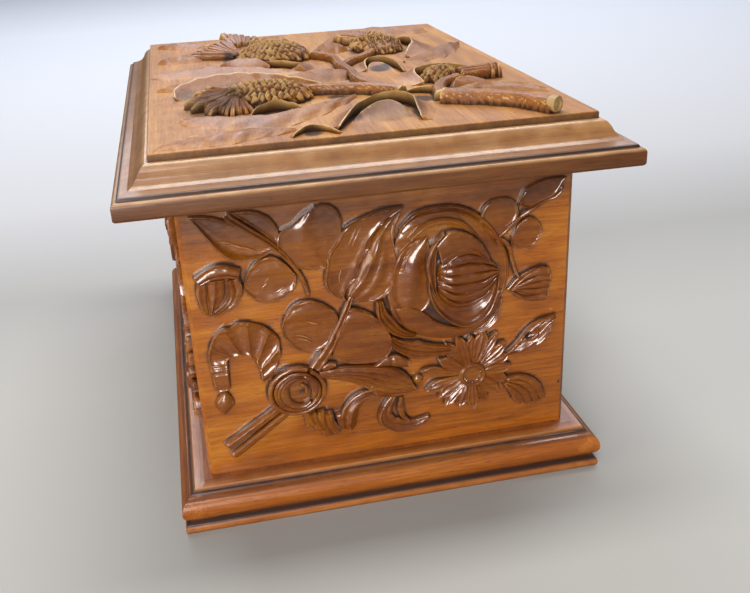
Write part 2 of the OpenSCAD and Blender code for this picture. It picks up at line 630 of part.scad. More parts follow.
// The moulding all round, mitred at the corners, before it is cut into lengths
module plinth_round() {
    intersection() {
        rotate([90, 0, 0]) linear_extrude(plinth_l, center = true)
            polygon(both_sides(plinth_edge(plinth_w / 2)));
        rotate([90, 0, 90]) linear_extrude(plinth_w, center = true)
            polygon(both_sides(plinth_edge(plinth_l / 2)));
    }
}
module plinth_side() {
    intersection() {
        plinth_round();
        translate([plinth_w / 2 - plinth_t, -plinth_l / 2, 0]) cube([plinth_t, plinth_l, plinth_h]);
    }
}
module plinth_end() {
    intersection() {
        plinth_round();
        translate([-bottom_w / 2, -plinth_l / 2, 0]) cube([bottom_w, plinth_t, plinth_h]);
    }
}
module plinth_near() { color(wood) plinth_end(); }
module plinth_far() { color(wood) mirror([0, 1, 0]) plinth_end(); }
module plinth_back() { color(wood) plinth_side(); }
module plinth_front() { color(wood) mirror([1, 0, 0]) plinth_side(); }

// Triangular blocks glued into the corners under the bottom board
module glue_block() {
    color(raw_wood) translate([bottom_w / 2, bottom_l / 2, 0.5])
        linear_extrude(seat_z - bottom_t - 0.5) polygon([[0, 0], [-block_leg, 0], [0, -block_leg]]);
}
module glue_block_back_far() { glue_block(); }
module glue_block_back_near() { mirror([0, 1, 0]) glue_block(); }
module glue_block_front_far() { mirror([1, 0, 0]) glue_block(); }
module glue_block_front_near() { mirror([1, 0, 0]) mirror([0, 1, 0]) glue_block(); }

// Lid edge from its underside up: rounded edge, quirk, cove, nosing and ledge
cove = [[0.25, 0.98], [0.42, 0.88], [0.56, 0.74], [0.67, 0.53],
        [0.74, 0.29], [0.82, 0.12], [0.93, 0.01], [1, 0]];
function lid_edge(edge) = let (q = lid_t - quirk_drop, r = edge_round) concat(
    [[edge - 0.7, 0], [edge, 0.8], [edge, q - r], [edge - 0.3 * r, q - 0.4 * r],
     [edge - 0.9 * r, q - 0.06 * r], [edge - quirk_in, q], [edge - quirk_in, q + quirk_h]],
    [for (p = cove) [edge - lid_margin * p[0], lid_t - (quirk_drop - quirk_h) * p[1]]]
);
module lid_board() {
    color(wood) difference() {
        translate([0, 0, rim_z]) intersection() {
            rotate([90, 0, 0]) linear_extrude(lid_l, center = true) polygon(both_sides(lid_edge(lid_w / 2)));
            rotate([90, 0, 90]) linear_extrude(lid_w, center = true) polygon(both_sides(lid_edge(lid_l / 2)));
        }
        each_hinge() {
            lid_leaf_space();
            leaf_screws(1, fix_gap);
        }
        batten_fixings(fix_gap);
    }
}

// Carved panel planted on the lid board
module lid_carved_panel() {
    color(carved) translate([0, 0, lid_top_z]) union() {
        translate([-panel_w / 2, -panel_l / 2, 0]) cube([panel_w, panel_l, panel_t]);
        translate([0, 0, panel_t]) fit_drawing([panel_w, panel_l], lid_draw, lid_relief) lid_drawing();
    }
}

// Battens that keep the lid flat, inside the opening
batten_l = inner_w - 2 * batten_gap;
module batten() {
    color(raw_wood) difference() {
        translate([-batten_l / 2, batten_y - batten_w / 2, rim_z - batten_t])
            cube([batten_l, batten_w, batten_t]);
        batten_fixings(fix_gap);
    }
}
module batten_fixings(gap = 0) {
    for (x = [-1, 1]) for (y = [-1, 1]) translate([x * batten_l * 0.36, y * batten_y, rim_z - batten_t])
        wood_screw(fix_r, fix_head, batten_fix_l, gap);
}
module lid_batten_far() { batten(); }
module lid_batten_near() { mirror([0, 1, 0]) batten(); }
module batten_screws() { color(steel) batten_fixings(); }

// Hinges: leaves let into the board's top and the lid's underside, knuckles under the overhang
module each_hinge() { for (side = [-1, 1]) translate([0, side * hinge_y, 0]) children(); }
function knuckle_y(i) = -hinge_l / 2 + i * (knuckle_l + knuckle_gap);

// side is -1 for the case leaf, which lies under the joint line, and 1 for the lid leaf above it
module hinge_leaf(side) {
    first = side < 0 ? 0 : 1;
    color(brass) difference() {
        union() {
            translate([leaf_x, -hinge_l / 2, side < 0 ? pin_z - leaf_t : pin_z])
                cube([pin_x - knuckle_r - leaf_x - knuckle_gap, hinge_l, leaf_t]);
            for (i = [first:2:knuckles - 1]) translate([0, knuckle_y(i), 0]) {
                translate([pin_x - knuckle_r - 1, 0, side < 0 ? pin_z - leaf_t : pin_z])
                    cube([knuckle_r, knuckle_l, leaf_t]);
                translate([pin_x, 0, pin_z]) rotate([-90, 0, 0]) cylinder(h = knuckle_l, r = knuckle_r);
            }
        }
        translate([pin_x, -hinge_l / 2 - 1, pin_z]) rotate([-90, 0, 0])
            cylinder(h = hinge_l + 2, r = pin_r + pin_gap);
        leaf_screws(side, fix_gap);
    }
}
// What the case leaf takes out of the back board's top edge
module case_leaf_space() {
    translate([leaf_x, -hinge_l / 2, pin_z - leaf_t]) cube([board_t + 1, hinge_l, leaf_t + 1]);
}
// What the lid leaf and the knuckles take out of the lid's underside
module lid_leaf_space() {
    translate([leaf_x, -hinge_l / 2, pin_z - 1]) cube([pin_x - leaf_x, hinge_l, leaf_t + 1]);
    translate([pin_x - knuckle_r - knuckle_room, -hinge_l / 2 - knuckle_room, pin_z - 1])
        cube([2 * (knuckle_r + knuckle_room), hinge_l + 2 * knuckle_room, knuckle_r + knuckle_room + 1]);
}
// Three screws through a leaf, with their heads level with its open face
module leaf_screws(side, gap = 0) {
    for (y = [-0.34, 0, 0.34]) translate([(leaf_x + pin_x - knuckle_r) / 2, y * hinge_l, pin_z])
        rotate([side < 0 ? 180 : 0, 0, 0]) wood_screw(screw_r, leaf_t, screw_l, gap);
}
module hinge_pin() {
    color(steel) translate([pin_x, -hinge_l / 2, pin_z]) rotate([-90, 0, 0]) cylinder(h = hinge_l, r = pin_r);
}
module hinge_near_case_leaf() { translate([0, -hinge_y, 0]) hinge_leaf(-1); }
module hinge_near_lid_leaf() { translate([0, -hinge_y, 0]) hinge_leaf(1); }
module hinge_near_pin() { translate([0, -hinge_y, 0]) hinge_pin(); }
module hinge_far_case_leaf() { translate([0, hinge_y, 0]) hinge_leaf(-1); }
module hinge_far_lid_leaf() { translate([0, hinge_y, 0]) hinge_leaf(1); }
module hinge_far_pin() { translate([0, hinge_y, 0]) hinge_pin(); }
module hinge_case_screws() { color(brass) each_hinge() leaf_screws(-1); }
module hinge_lid_screws() { color(brass) each_hinge() leaf_screws(1); }

end_board_near();
end_board_far();
front_board();
back_board();
bottom_board();
plinth_near();
plinth_far();
plinth_front();
plinth_back();
glue_block_front_near();
glue_block_front_far();
glue_block_back_near();
glue_block_back_far();
bottom_screws();
lid_board();
lid_carved_panel();
lid_batten_near();
lid_batten_far();
batten_screws();
hinge_near_case_leaf();
hinge_near_lid_leaf();
hinge_near_pin();
hinge_far_case_leaf();
hinge_far_lid_leaf();
hinge_far_pin();
hinge_case_screws();
hinge_lid_screws();
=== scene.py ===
import math

import bpy
import numpy as np
from mathutils import Matrix, Vector

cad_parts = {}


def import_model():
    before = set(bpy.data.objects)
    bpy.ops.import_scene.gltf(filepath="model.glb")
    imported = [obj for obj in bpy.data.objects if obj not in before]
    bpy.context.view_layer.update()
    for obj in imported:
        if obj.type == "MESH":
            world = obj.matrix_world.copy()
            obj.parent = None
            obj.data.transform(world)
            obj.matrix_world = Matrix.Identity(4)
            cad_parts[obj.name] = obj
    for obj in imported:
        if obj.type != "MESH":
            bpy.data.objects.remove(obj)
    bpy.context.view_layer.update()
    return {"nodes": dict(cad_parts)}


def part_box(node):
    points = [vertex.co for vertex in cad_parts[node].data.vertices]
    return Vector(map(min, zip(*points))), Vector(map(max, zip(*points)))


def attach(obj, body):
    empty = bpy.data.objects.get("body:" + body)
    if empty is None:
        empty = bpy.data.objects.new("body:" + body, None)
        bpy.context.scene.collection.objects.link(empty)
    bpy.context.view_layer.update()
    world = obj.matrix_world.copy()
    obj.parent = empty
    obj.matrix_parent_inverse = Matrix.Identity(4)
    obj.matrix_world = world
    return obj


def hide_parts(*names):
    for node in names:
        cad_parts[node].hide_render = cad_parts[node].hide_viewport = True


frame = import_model()

MM = 0.001

# The photograph: its width and the lens's focal length in pixels, and the camera's place in millimetres
# and turns in radians, round Z, then X, then Z again
PHOTO_W = 750
FOCAL_LENGTH = 914.4
CAMERA_AT = (-79.74, -509.62, 280.55)
CAMERA_TURNS = (-0.1962, 1.1396, -0.0466)

# Boards, in millimetres
BOARD = 11            # thickness of the carved boards
REBATE = 5            # how deep the long boards sit in the ends
CORNER = 2            # chamfer on the upright corners
PANEL = 3             # ground thickness of the carved lid panel
PLINTH = 12           # thickness of the plinth mouldings
LID_MARGIN = 16       # moulding between the lid's edge and its carved panel
HINGE_LEAF = 1.5      # thickness of the hinge leaves
KNUCKLE_ROOM = 0.6    # air round the knuckles of the hinges
GOUGED = 0.13         # how uneven the gouge leaves a surface
ROOT = 1.5            # how deep the carved forms reach into their board


def size_mm(node):
    """The lowest and highest corner of a CAD node."""
    low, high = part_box(node)
    return np.array(low) / MM, np.array(high) / MM


end_low, end_high = size_mm("end_board_near")
back_high = size_mm("back_board")[1]
lid_low, lid_high = size_mm("lid_board")
plinth_low, plinth_high = size_mm("plinth_front")
BODY_W = 2 * back_high[0]
BODY_L = 2 * (BOARD - end_high[1])
SEAT = end_low[2]
BODY_H = end_high[2] - SEAT
LID_W, LID_L, LID_T = lid_high - lid_low
PLINTH_W, PLINTH_L, PLINTH_H = -2 * plinth_low[0], 2 * plinth_high[1], plinth_high[2]
PANEL_W, PANEL_L = LID_W - 2 * LID_MARGIN, LID_L - 2 * LID_MARGIN


# Shapes of lines and surfaces

def line_through(points, count):
    """A smooth line through given points, as count + 1 evenly spaced points."""
    p = np.array(points, float)
    p = np.concatenate([2 * p[:1] - p[1:2], p, 2 * p[-1:] - p[-2:-1]])
    t = np.linspace(0, 1, 13)[:, None]
    parts = []
    for a, b, c, d in zip(p, p[1:], p[2:], p[3:]):
        parts.append(0.5 * (2 * b + (c - a) * t + (2 * a - 5 * b + 4 * c - d) * t ** 2
                            + (3 * b - a - 3 * c + d) * t ** 3)[:-1])
    q = np.concatenate(parts + [p[-2:-1]])
    run = np.concatenate([[0], np.cumsum(np.linalg.norm(np.diff(q, axis=0), axis=1))])
    at = np.linspace(0, run[-1], count + 1)
    return np.stack([np.interp(at, run, q[:, k]) for k in range(q.shape[1])], axis=1)


def hill(x, at, wide):
    """1 at the given place, falling away smoothly on both sides."""
    return np.exp(-((x - at) / wide) ** 2)


def dome(v):
    """1 along the middle, 0 at both edges."""
    return np.sqrt(np.clip(1 - v ** 2, 0, 1))


def ridges(x, count):
    """Rounded ridges with sharp valleys between them."""
    return np.abs(np.sin(math.pi * count * x))


def rounded(d, wide):
    """How far a rounded edge has dropped, 1 at the edge and 0 past its width."""
    t = np.clip(d / wide, 0, 1)
    return 1 - np.sqrt(1 - (1 - t) ** 2)


def tooled(x, y):
    """The slight unevenness that the gouge leaves, about -1 to 1."""
    return (0.45 * np.sin(1.15 * x + 0.4 * y + 2 * np.sin(0.31 * y))
            + 0.35 * np.sin(0.5 * x - 1.3 * y + 2 * np.sin(0.27 * x)) + 0.3 * np.sin(2.3 * x + 1.9 * y))


class Carving:
    """The carved forms of one board, drawn flat in millimetres, with z the height above its ground."""

    def __init__(self, name):
        self.name = name
        self.forms = []
        self.tops = []
        self.polish_and_shade_spots = []
        self.cups = []
        self.low = self.high = (0, 0)
        self.move = np.eye(3)

    def placed(self, x=0.0, y=0.0, turn=0.0, flip=1.0):
        """Sets where the next forms go: mirrored, turned and then moved."""
        a = math.radians(turn)
        c, s = math.cos(a), math.sin(a)
        self.move = np.array([[c * flip, -s, x], [s * flip, c, y], [0, 0, 1]])
        return self

    def laid(self, top):
        """The points of a surface, moved to where the form goes."""
        flat = np.concatenate([top[..., :2], np.ones(top.shape[:2] + (1,))], axis=2) @ self.move.T
        return np.concatenate([flat[..., :2], top[..., 2:]], axis=2)

    def form(self, top, tuck):
        """One closed form under a grid of surface points: extruded up and shaped, its foot drawn in."""
        top = self.laid(top)
        top[..., 2:] += GOUGED * tooled(top[..., :1], top[..., 1:2]) * np.clip(top[..., 2:] / 2, 0, 1)
        ahead = top[-1].mean(0) - top[0].mean(0)
        across = (top[:, -1] - top[:, 0])[len(top) // 2]
        if across[0] * ahead[1] - across[1] * ahead[0] < 0:
            top = top[:, ::-1]
        rows, columns = top.shape[:2]
        middle = (top[:, :1] + top[:, -1:]) / 2
        half = np.linalg.norm(top[:, :1, :2] - middle[..., :2], axis=2, keepdims=True)
        foot = middle + (top - middle) * (1 - np.clip(tuck / np.maximum(half, 0.1), 0, 0.6))
        foot[..., 2] = -ROOT
        bpy.ops.mesh.primitive_grid_add(x_subdivisions=columns - 1, y_subdivisions=rows - 1, size=1)
        piece = bpy.context.object
        mesh = piece.data
        mesh.vertices.foreach_set("co", foot.ravel())
        bpy.ops.object.mode_set(mode="EDIT")
        bpy.ops.mesh.select_all(action="SELECT")
        bpy.ops.mesh.extrude_region_move(TRANSFORM_OT_translate={"value": (0, 0, ROOT)})
        bpy.ops.object.mode_set(mode="OBJECT")
        mesh.vertices.foreach_set("co", np.concatenate([foot.reshape(-1, 3), top.reshape(-1, 3)]).ravel())
        close_under(mesh, rows * columns)
        self.forms.append(piece)
        self.tops.append(top)

    def repeat(self, pattern, x, y, z, turn, size, tilt):
        """A copy of one small form, standing on a surface z mm high and tipped up by tilt degrees."""
        form, top = pattern
        (xx, xy, x0), (yx, yy, y0) = self.move[:2]
        placing = Matrix(((xx, xy, 0, x0), (yx, yy, 0, y0), (0, 0, 1, 0), (0, 0, 0, 1)))
        placing = (placing @ Matrix.Translation((x, y, z)) @ Matrix.Rotation(math.radians(turn), 4, "Z")
                   @ Matrix.Rotation(math.radians(-tilt), 4, "Y") @ Matrix.Scale(size, 4))
        mesh = form.data.copy()
        mesh.transform(placing)
        copy = bpy.data.objects.new(self.name, mesh)
        bpy.context.collection.objects.link(copy)
        self.forms.append(copy)
        self.tops.append(top @ np.array(placing.to_3x3()).T + np.array(placing.translation))

    def pattern(self, line, wide, height, **more):
        """A small form to be repeated: taken back off the board as soon as it is made."""
        kept, self.move = self.move, np.eye(3)
        self.strand(line, wide, height, **more)
        self.move = kept
        return self.forms.pop(), self.tops.pop()

    def hollow(self, x, y, wide, deep, top=4):
        """A spot darkened up to top mm above the ground: painted shade where a hollow or the lid's overhang
        shades the ground, and old polish in a cut.
        """
        at = self.move @ np.array([x, y, 1])
        self.polish_and_shade_spots.append((at[0], at[1], wide, deep, top))

    def patch(self, left, right, height, lip=0.9, lip_w=1.4, tuck=0.8, n=26, m=12, least=0.15):
        """A form between two edges drawn from its base to its tip. height(u, v, d) gives the surface:
        u runs from base to tip, v from -1 on the left edge to 1 on the right, d is mm from the edge.
        The edge drops by lip over lip_w, the foot is drawn in by tuck, and least is its lowest surface."""
        a, b = line_through(left, n)[:, None], line_through(right, n)[:, None]
        u = np.linspace(0, 1, n + 1)[:, None]
        v = np.sin(np.linspace(-math.pi / 2, math.pi / 2, m + 1))[None]
        xy = a * (1 - v[..., None]) / 2 + b * (1 + v[..., None]) / 2
        half = np.linalg.norm(b - a, axis=2) / 2
        d = (1 - np.abs(v)) * half
        z = height(u, v, d) * np.ones_like(d) - lip * rounded(d, lip_w)
        self.form(np.concatenate([xy, np.maximum(z, least)[..., None]], axis=2), tuck)

    def strand(self, line, wide, height, lip=0.8, lip_w=1.0, tuck=0.4, ends=1.2, n=22, m=8):
        """A form along a line, wide across; its blunt ends are rounded over by ends mm."""
        p = line_through(line, n)
        if isinstance(wide, list):
            w = line_through([[x] for x in wide], n) / 2
        else:
            w = np.full((n + 1, 1), wide / 2)
        along = np.gradient(p, axis=0)
        side = np.stack([-along[:, 1], along[:, 0]], axis=1) / np.linalg.norm(along, axis=1)[:, None]
        run = np.concatenate([[0], np.cumsum(np.linalg.norm(np.diff(p, axis=0), axis=1))])
        from_end = np.minimum(run, run[-1] - run)[:, None]
        u = np.linspace(0, 1, n + 1)[:, None]
        v = np.sin(np.linspace(-math.pi / 2, math.pi / 2, m + 1))[None]
        xy = p[:, None] + side[:, None] * (w * v)[..., None]
        d = np.minimum((1 - np.abs(v)) * w, from_end + 0.05)
        surface = height(u, v, d) if callable(height) else height
        z = surface * np.ones_like(d) - lip * rounded(d, lip_w)
        if ends:
            z = z - surface * 0.35 * rounded(from_end, ends)
        self.form(np.concatenate([xy, np.maximum(z, 0.1)[..., None]], axis=2), tuck)

    def stroke(self, line, z, wide, high):
        """A fine raised line left by the gouge, on a surface z mm high."""
        self.strand(line, [0.15, wide, wide, 0.15], lambda u, v, d: z + high * dome(v) * dome(2 * u - 1),
                    lip=0, tuck=0, ends=0, n=8, m=4)
        self.tops.pop()

    def boss(self, x, y, profile, around):
        """A turned form: profile holds (radius, height) from the middle out."""
        a = np.linspace(0, 2 * math.pi, around + 1)[:, None]
        r = np.array([q[0] for q in profile])[None]
        z = np.array([q[1] for q in profile])[None] + 0 * a
        top = self.laid(np.stack([x + r * np.cos(a), y + r * np.sin(a), z], axis=2))
        self.tops.append(top)
        points = [tuple(q) for q in top[0]]
        mesh = bpy.data.meshes.new(self.name)
        mesh.from_pydata(points, [(i, i + 1) for i in range(len(points) - 1)], [])
        piece = bpy.data.objects.new(self.name, mesh)
        bpy.context.collection.objects.link(piece)
        select_only(piece)
        centre = self.move @ np.array([x, y, 1])
        bpy.ops.object.mode_set(mode="EDIT")
        bpy.ops.mesh.select_all(action="SELECT")
        bpy.ops.mesh.spin(steps=around, angle=2 * math.pi, center=(centre[0], centre[1], 0), axis=(0, 0, 1))
        bpy.ops.mesh.select_all(action="SELECT")
        bpy.ops.mesh.remove_doubles(threshold=0.01)
        bpy.ops.mesh.select_all(action="SELECT")
        bpy.ops.mesh.fill_holes(sides=0)
        bpy.ops.mesh.select_all(action="SELECT")
        bpy.ops.mesh.normals_make_consistent(inside=False)
        bpy.ops.object.mode_set(mode="OBJECT")
        self.forms.append(piece)


def select_only(*pieces):
    """Selects these pieces and makes the first one active."""
    bpy.ops.object.select_all(action="DESELECT")
    for piece in pieces:
        piece.select_set(True)
    bpy.context.view_layer.objects.active = pieces[0]


def points_of(mesh):
    """The places of a mesh's points, a row for each."""
    at = np.zeros(len(mesh.vertices) * 3)
    mesh.vertices.foreach_get("co", at)
    return at.reshape(-1, 3)


def close_under(mesh, foot_points):
    """Makes the underside of a form, whose points come first, one face."""
    under = [all(i < foot_points for i in face.vertices) for face in mesh.polygons]
    mesh.polygons.foreach_set("select", under)
    mesh.edges.foreach_set("select", [False] * len(mesh.edges))
    mesh.vertices.foreach_set("select", [False] * len(mesh.vertices))
    bpy.ops.object.mode_set(mode="EDIT")
    bpy.ops.mesh.select_mode(type="FACE")
    bpy.ops.mesh.dissolve_faces()
    bpy.ops.mesh.select_mode(type="VERT")
    bpy.ops.object.mode_set(mode="OBJECT")


# The carved drawing of the near end, in millimetres from the middle of the board's foot

def rim(d, high, wide=0.55):
    """The thin raised edge that a leaf keeps when its face is dished."""
    return high * hill(d, 0.75, wide)


def groove(v, at, wide):
    """The depth of a cut along a form, 1 in its middle."""
    return hill(v, at, wide)


def corner_leaf(c):
    """Pointed leaf with a thick double rib, and its stem."""
    c.patch([(-48, 114), (-55, 121), (-62, 127), (-68, 131.5)],
            [(-48, 114), (-46.5, 120), (-50, 127), (-57, 131), (-68, 131.5)],
            lambda u, v, d: 1.9 + rim(d, 0.7) - 0.3 * dome(v), lip=0.5, lip_w=0.5, m=16)
    c.patch([(-48.5, 113.5), (-54, 110), (-62, 108.6), (-70, 111), (-75.5, 117), (-79.5, 123.5),
             (-84.5, 131.5)],
            [(-48.5, 113.5), (-55, 119), (-63, 125), (-71, 129), (-78, 131), (-84.5, 131.5)],
            lambda u, v, d: 1.8 + 2.0 * hill(v, -0.84, 0.16) * hill(u, 0.42, 0.36) + rim(d, 0.7)
            - 0.5 * hill(v, -0.35, 0.3), lip=0.5, lip_w=0.5, n=40, m=26)
    for x, y in ((-74, 119), (-70, 117), (-66, 115.4)):
        c.stroke([(x, y), (x + 4, y - 0.6), (x + 9, y - 3)], 1.7, 0.9, 0.5)
    c.strand([(-68.5, 130), (-60, 123), (-52, 116.5), (-46, 110), (-41, 102.5), (-37.5, 95), (-36, 88)],
             [3.6, 3.6, 3, 2.5, 2, 1.6, 1.4],
             lambda u, v, d: 3.9 - 0.8 * u - 1.1 * groove(v, 0, 0.2) * (u < 0.62), lip=0.9, n=40, m=14)


def round_leaflet(c):
    """Round leaflet with a rolled edge, veined by the gouge."""
    c.patch([(-40.8, 99.5), (-45, 105.3), (-51, 109.6), (-57, 108.3), (-62, 103.6), (-64.6, 96.5)],
            [(-40.8, 99.5), (-42, 93.3), (-46.5, 88.7), (-53, 87), (-60, 89.6), (-64.6, 96.5)],
            lambda u, v, d: 2.5 + rim(d, 0.6) + 1.3 * hill(v, 0.78, 0.14) * hill(u, 0.6, 0.35)
            + 0.9 * hill(v, -0.5, 0.3) * (1 - u), lip=0.6, lip_w=0.6, n=30, m=24)
    for line in (((-57.5, 94.5), (-55, 96.5), (-53, 98.6)), ((-52.5, 92), (-49, 93), (-46.5, 95)),
                 ((-51.5, 90.5), (-48.5, 91.7), (-46, 93.4)), ((-56, 96.8), (-54, 98.8), (-52.6, 100.6)),
                 ((-59, 102.6), (-56.5, 104), (-54, 104.4))):
        c.stroke(line, 2.5, 0.9, 0.5)


def stem_leaves(c):
    """Pale rounded leaf, the large pointed leaf and two round leaflets on a double stem."""
    c.patch([(-27, 100.5), (-37, 101), (-43, 104.5), (-47.6, 110.5), (-48.5, 116), (-46, 120.5),
             (-41, 122.8), (-36.5, 126.5), (-30.5, 130)],
            [(-27, 100.5), (-22, 107), (-19.5, 115), (-19, 123), (-21.5, 128.5), (-26, 130.6), (-30.5, 130)],
            lambda u, v, d: 2.0 + rim(d, 0.8) + 0.9 * hill(v + 0.5 * u, 0.1, 0.22) + 0.5 * u,
            lip=0.6, lip_w=0.6, n=34, m=26)
    c.patch([(-18, 83.5), (-25, 87.5), (-28.6, 94), (-27.2, 101), (-26, 107.5), (-21.8, 113), (-18.4, 118.5),
             (-12, 122), (-4, 124.6), (3, 125.7), (9, 125.8)],
            [(-18, 83.5), (-12, 82.2), (-5, 82.2), (1, 85.5), (4.3, 92), (5, 100), (4, 107.5), (4, 113.5),
             (5.8, 119.5), (9, 125.8)],
            lambda u, v, d: 2.9 + rim(d, 0.9) + 0.5 * ridges(u, 6) * hill(d, 2.2, 1.6)
            + 2.3 * hill(v, 0.02 + 0.3 * u, 0.13) * hill(u, 0.52, 0.34)
            + 1.2 * hill(v, 0.42 + 0.16 * u, 0.12) * hill(u, 0.4, 0.2)
            - 1.7 * groove(v, -0.2 + 0.3 * u, 0.055) * (u < 0.86)
            + 0.5 * hill(v, -0.34 + 0.3 * u, 0.08) * (u < 0.8), lip=0.6, lip_w=0.6, n=52, m=44)
    for line in (((-10.5, 118.5), (-13, 114.5), (-15.5, 109.5)), ((-12.8, 118), (-15.2, 114), (-17.2, 110)),
                 ((-0.5, 106.5), (-2.4, 102), (-5, 98)), ((-20.5, 100), (-21.8, 96), (-21.5, 92))):
        c.stroke(line, 3.1, 1.0, 0.6)
    c.patch([(-23.2, 72), (-24, 78), (-29, 83), (-36, 86.4), (-42.5, 85), (-47, 80.5), (-49.4, 74.5)],
            [(-23.2, 72), (-26.5, 65), (-31.5, 61), (-37, 59.6), (-43, 61.8), (-47.5, 67.5), (-49.4, 74.5)],
            lambda u, v, d: 2.6 + rim(d, 0.8) + 1.1 * hill(v, -0.6, 0.3) * hill(u, 0.55, 0.35)
            - 0.3 * dome(v), lip=0.6, lip_w=0.6, n=34, m=26)
    for line in (((-39, 84), (-35.5, 81.5), (-31, 79)), ((-37.5, 82.3), (-34, 79.8), (-30.5, 77.6)),
                 ((-44, 70), (-40, 69), (-36, 66.5)), ((-43, 68.4), (-39.5, 67.1), (-36, 64.8)),
                 ((-38, 76.5), (-35, 74.8), (-32, 74)), ((-41, 79), (-38, 78.6), (-35.5, 77))):
        c.stroke(line, 2.7, 1.0, 0.55)
    c.patch([(-27.5, 57), (-26.2, 65), (-23, 73), (-19.2, 79.3), (-13, 78.6), (-7, 74.8), (-2, 69.5),
             (1, 62)],
            [(-27.5, 57), (-22.5, 52.6), (-15, 50.4), (-6, 50), (-1, 52.6), (1, 56.5), (1, 62)],
            lambda u, v, d: 2.9 + rim(d, 0.5) + 1.5 * dome(v) * (0.5 + 0.5 * u) + 0.7 * hill(v, -0.72, 0.2),
            lip=0.7, lip_w=0.8, n=34, m=26)
    c.strand([(-16.5, 87), (-20, 78.5), (-24.3, 69), (-29, 60.5), (-36.5, 50.5)], [2.2, 2.6, 2.9, 3.6, 5.5],
             lambda u, v, d: 4.4 - 1.5 * groove(v, 0.05, 0.22), lip=0.8, n=34, m=16)


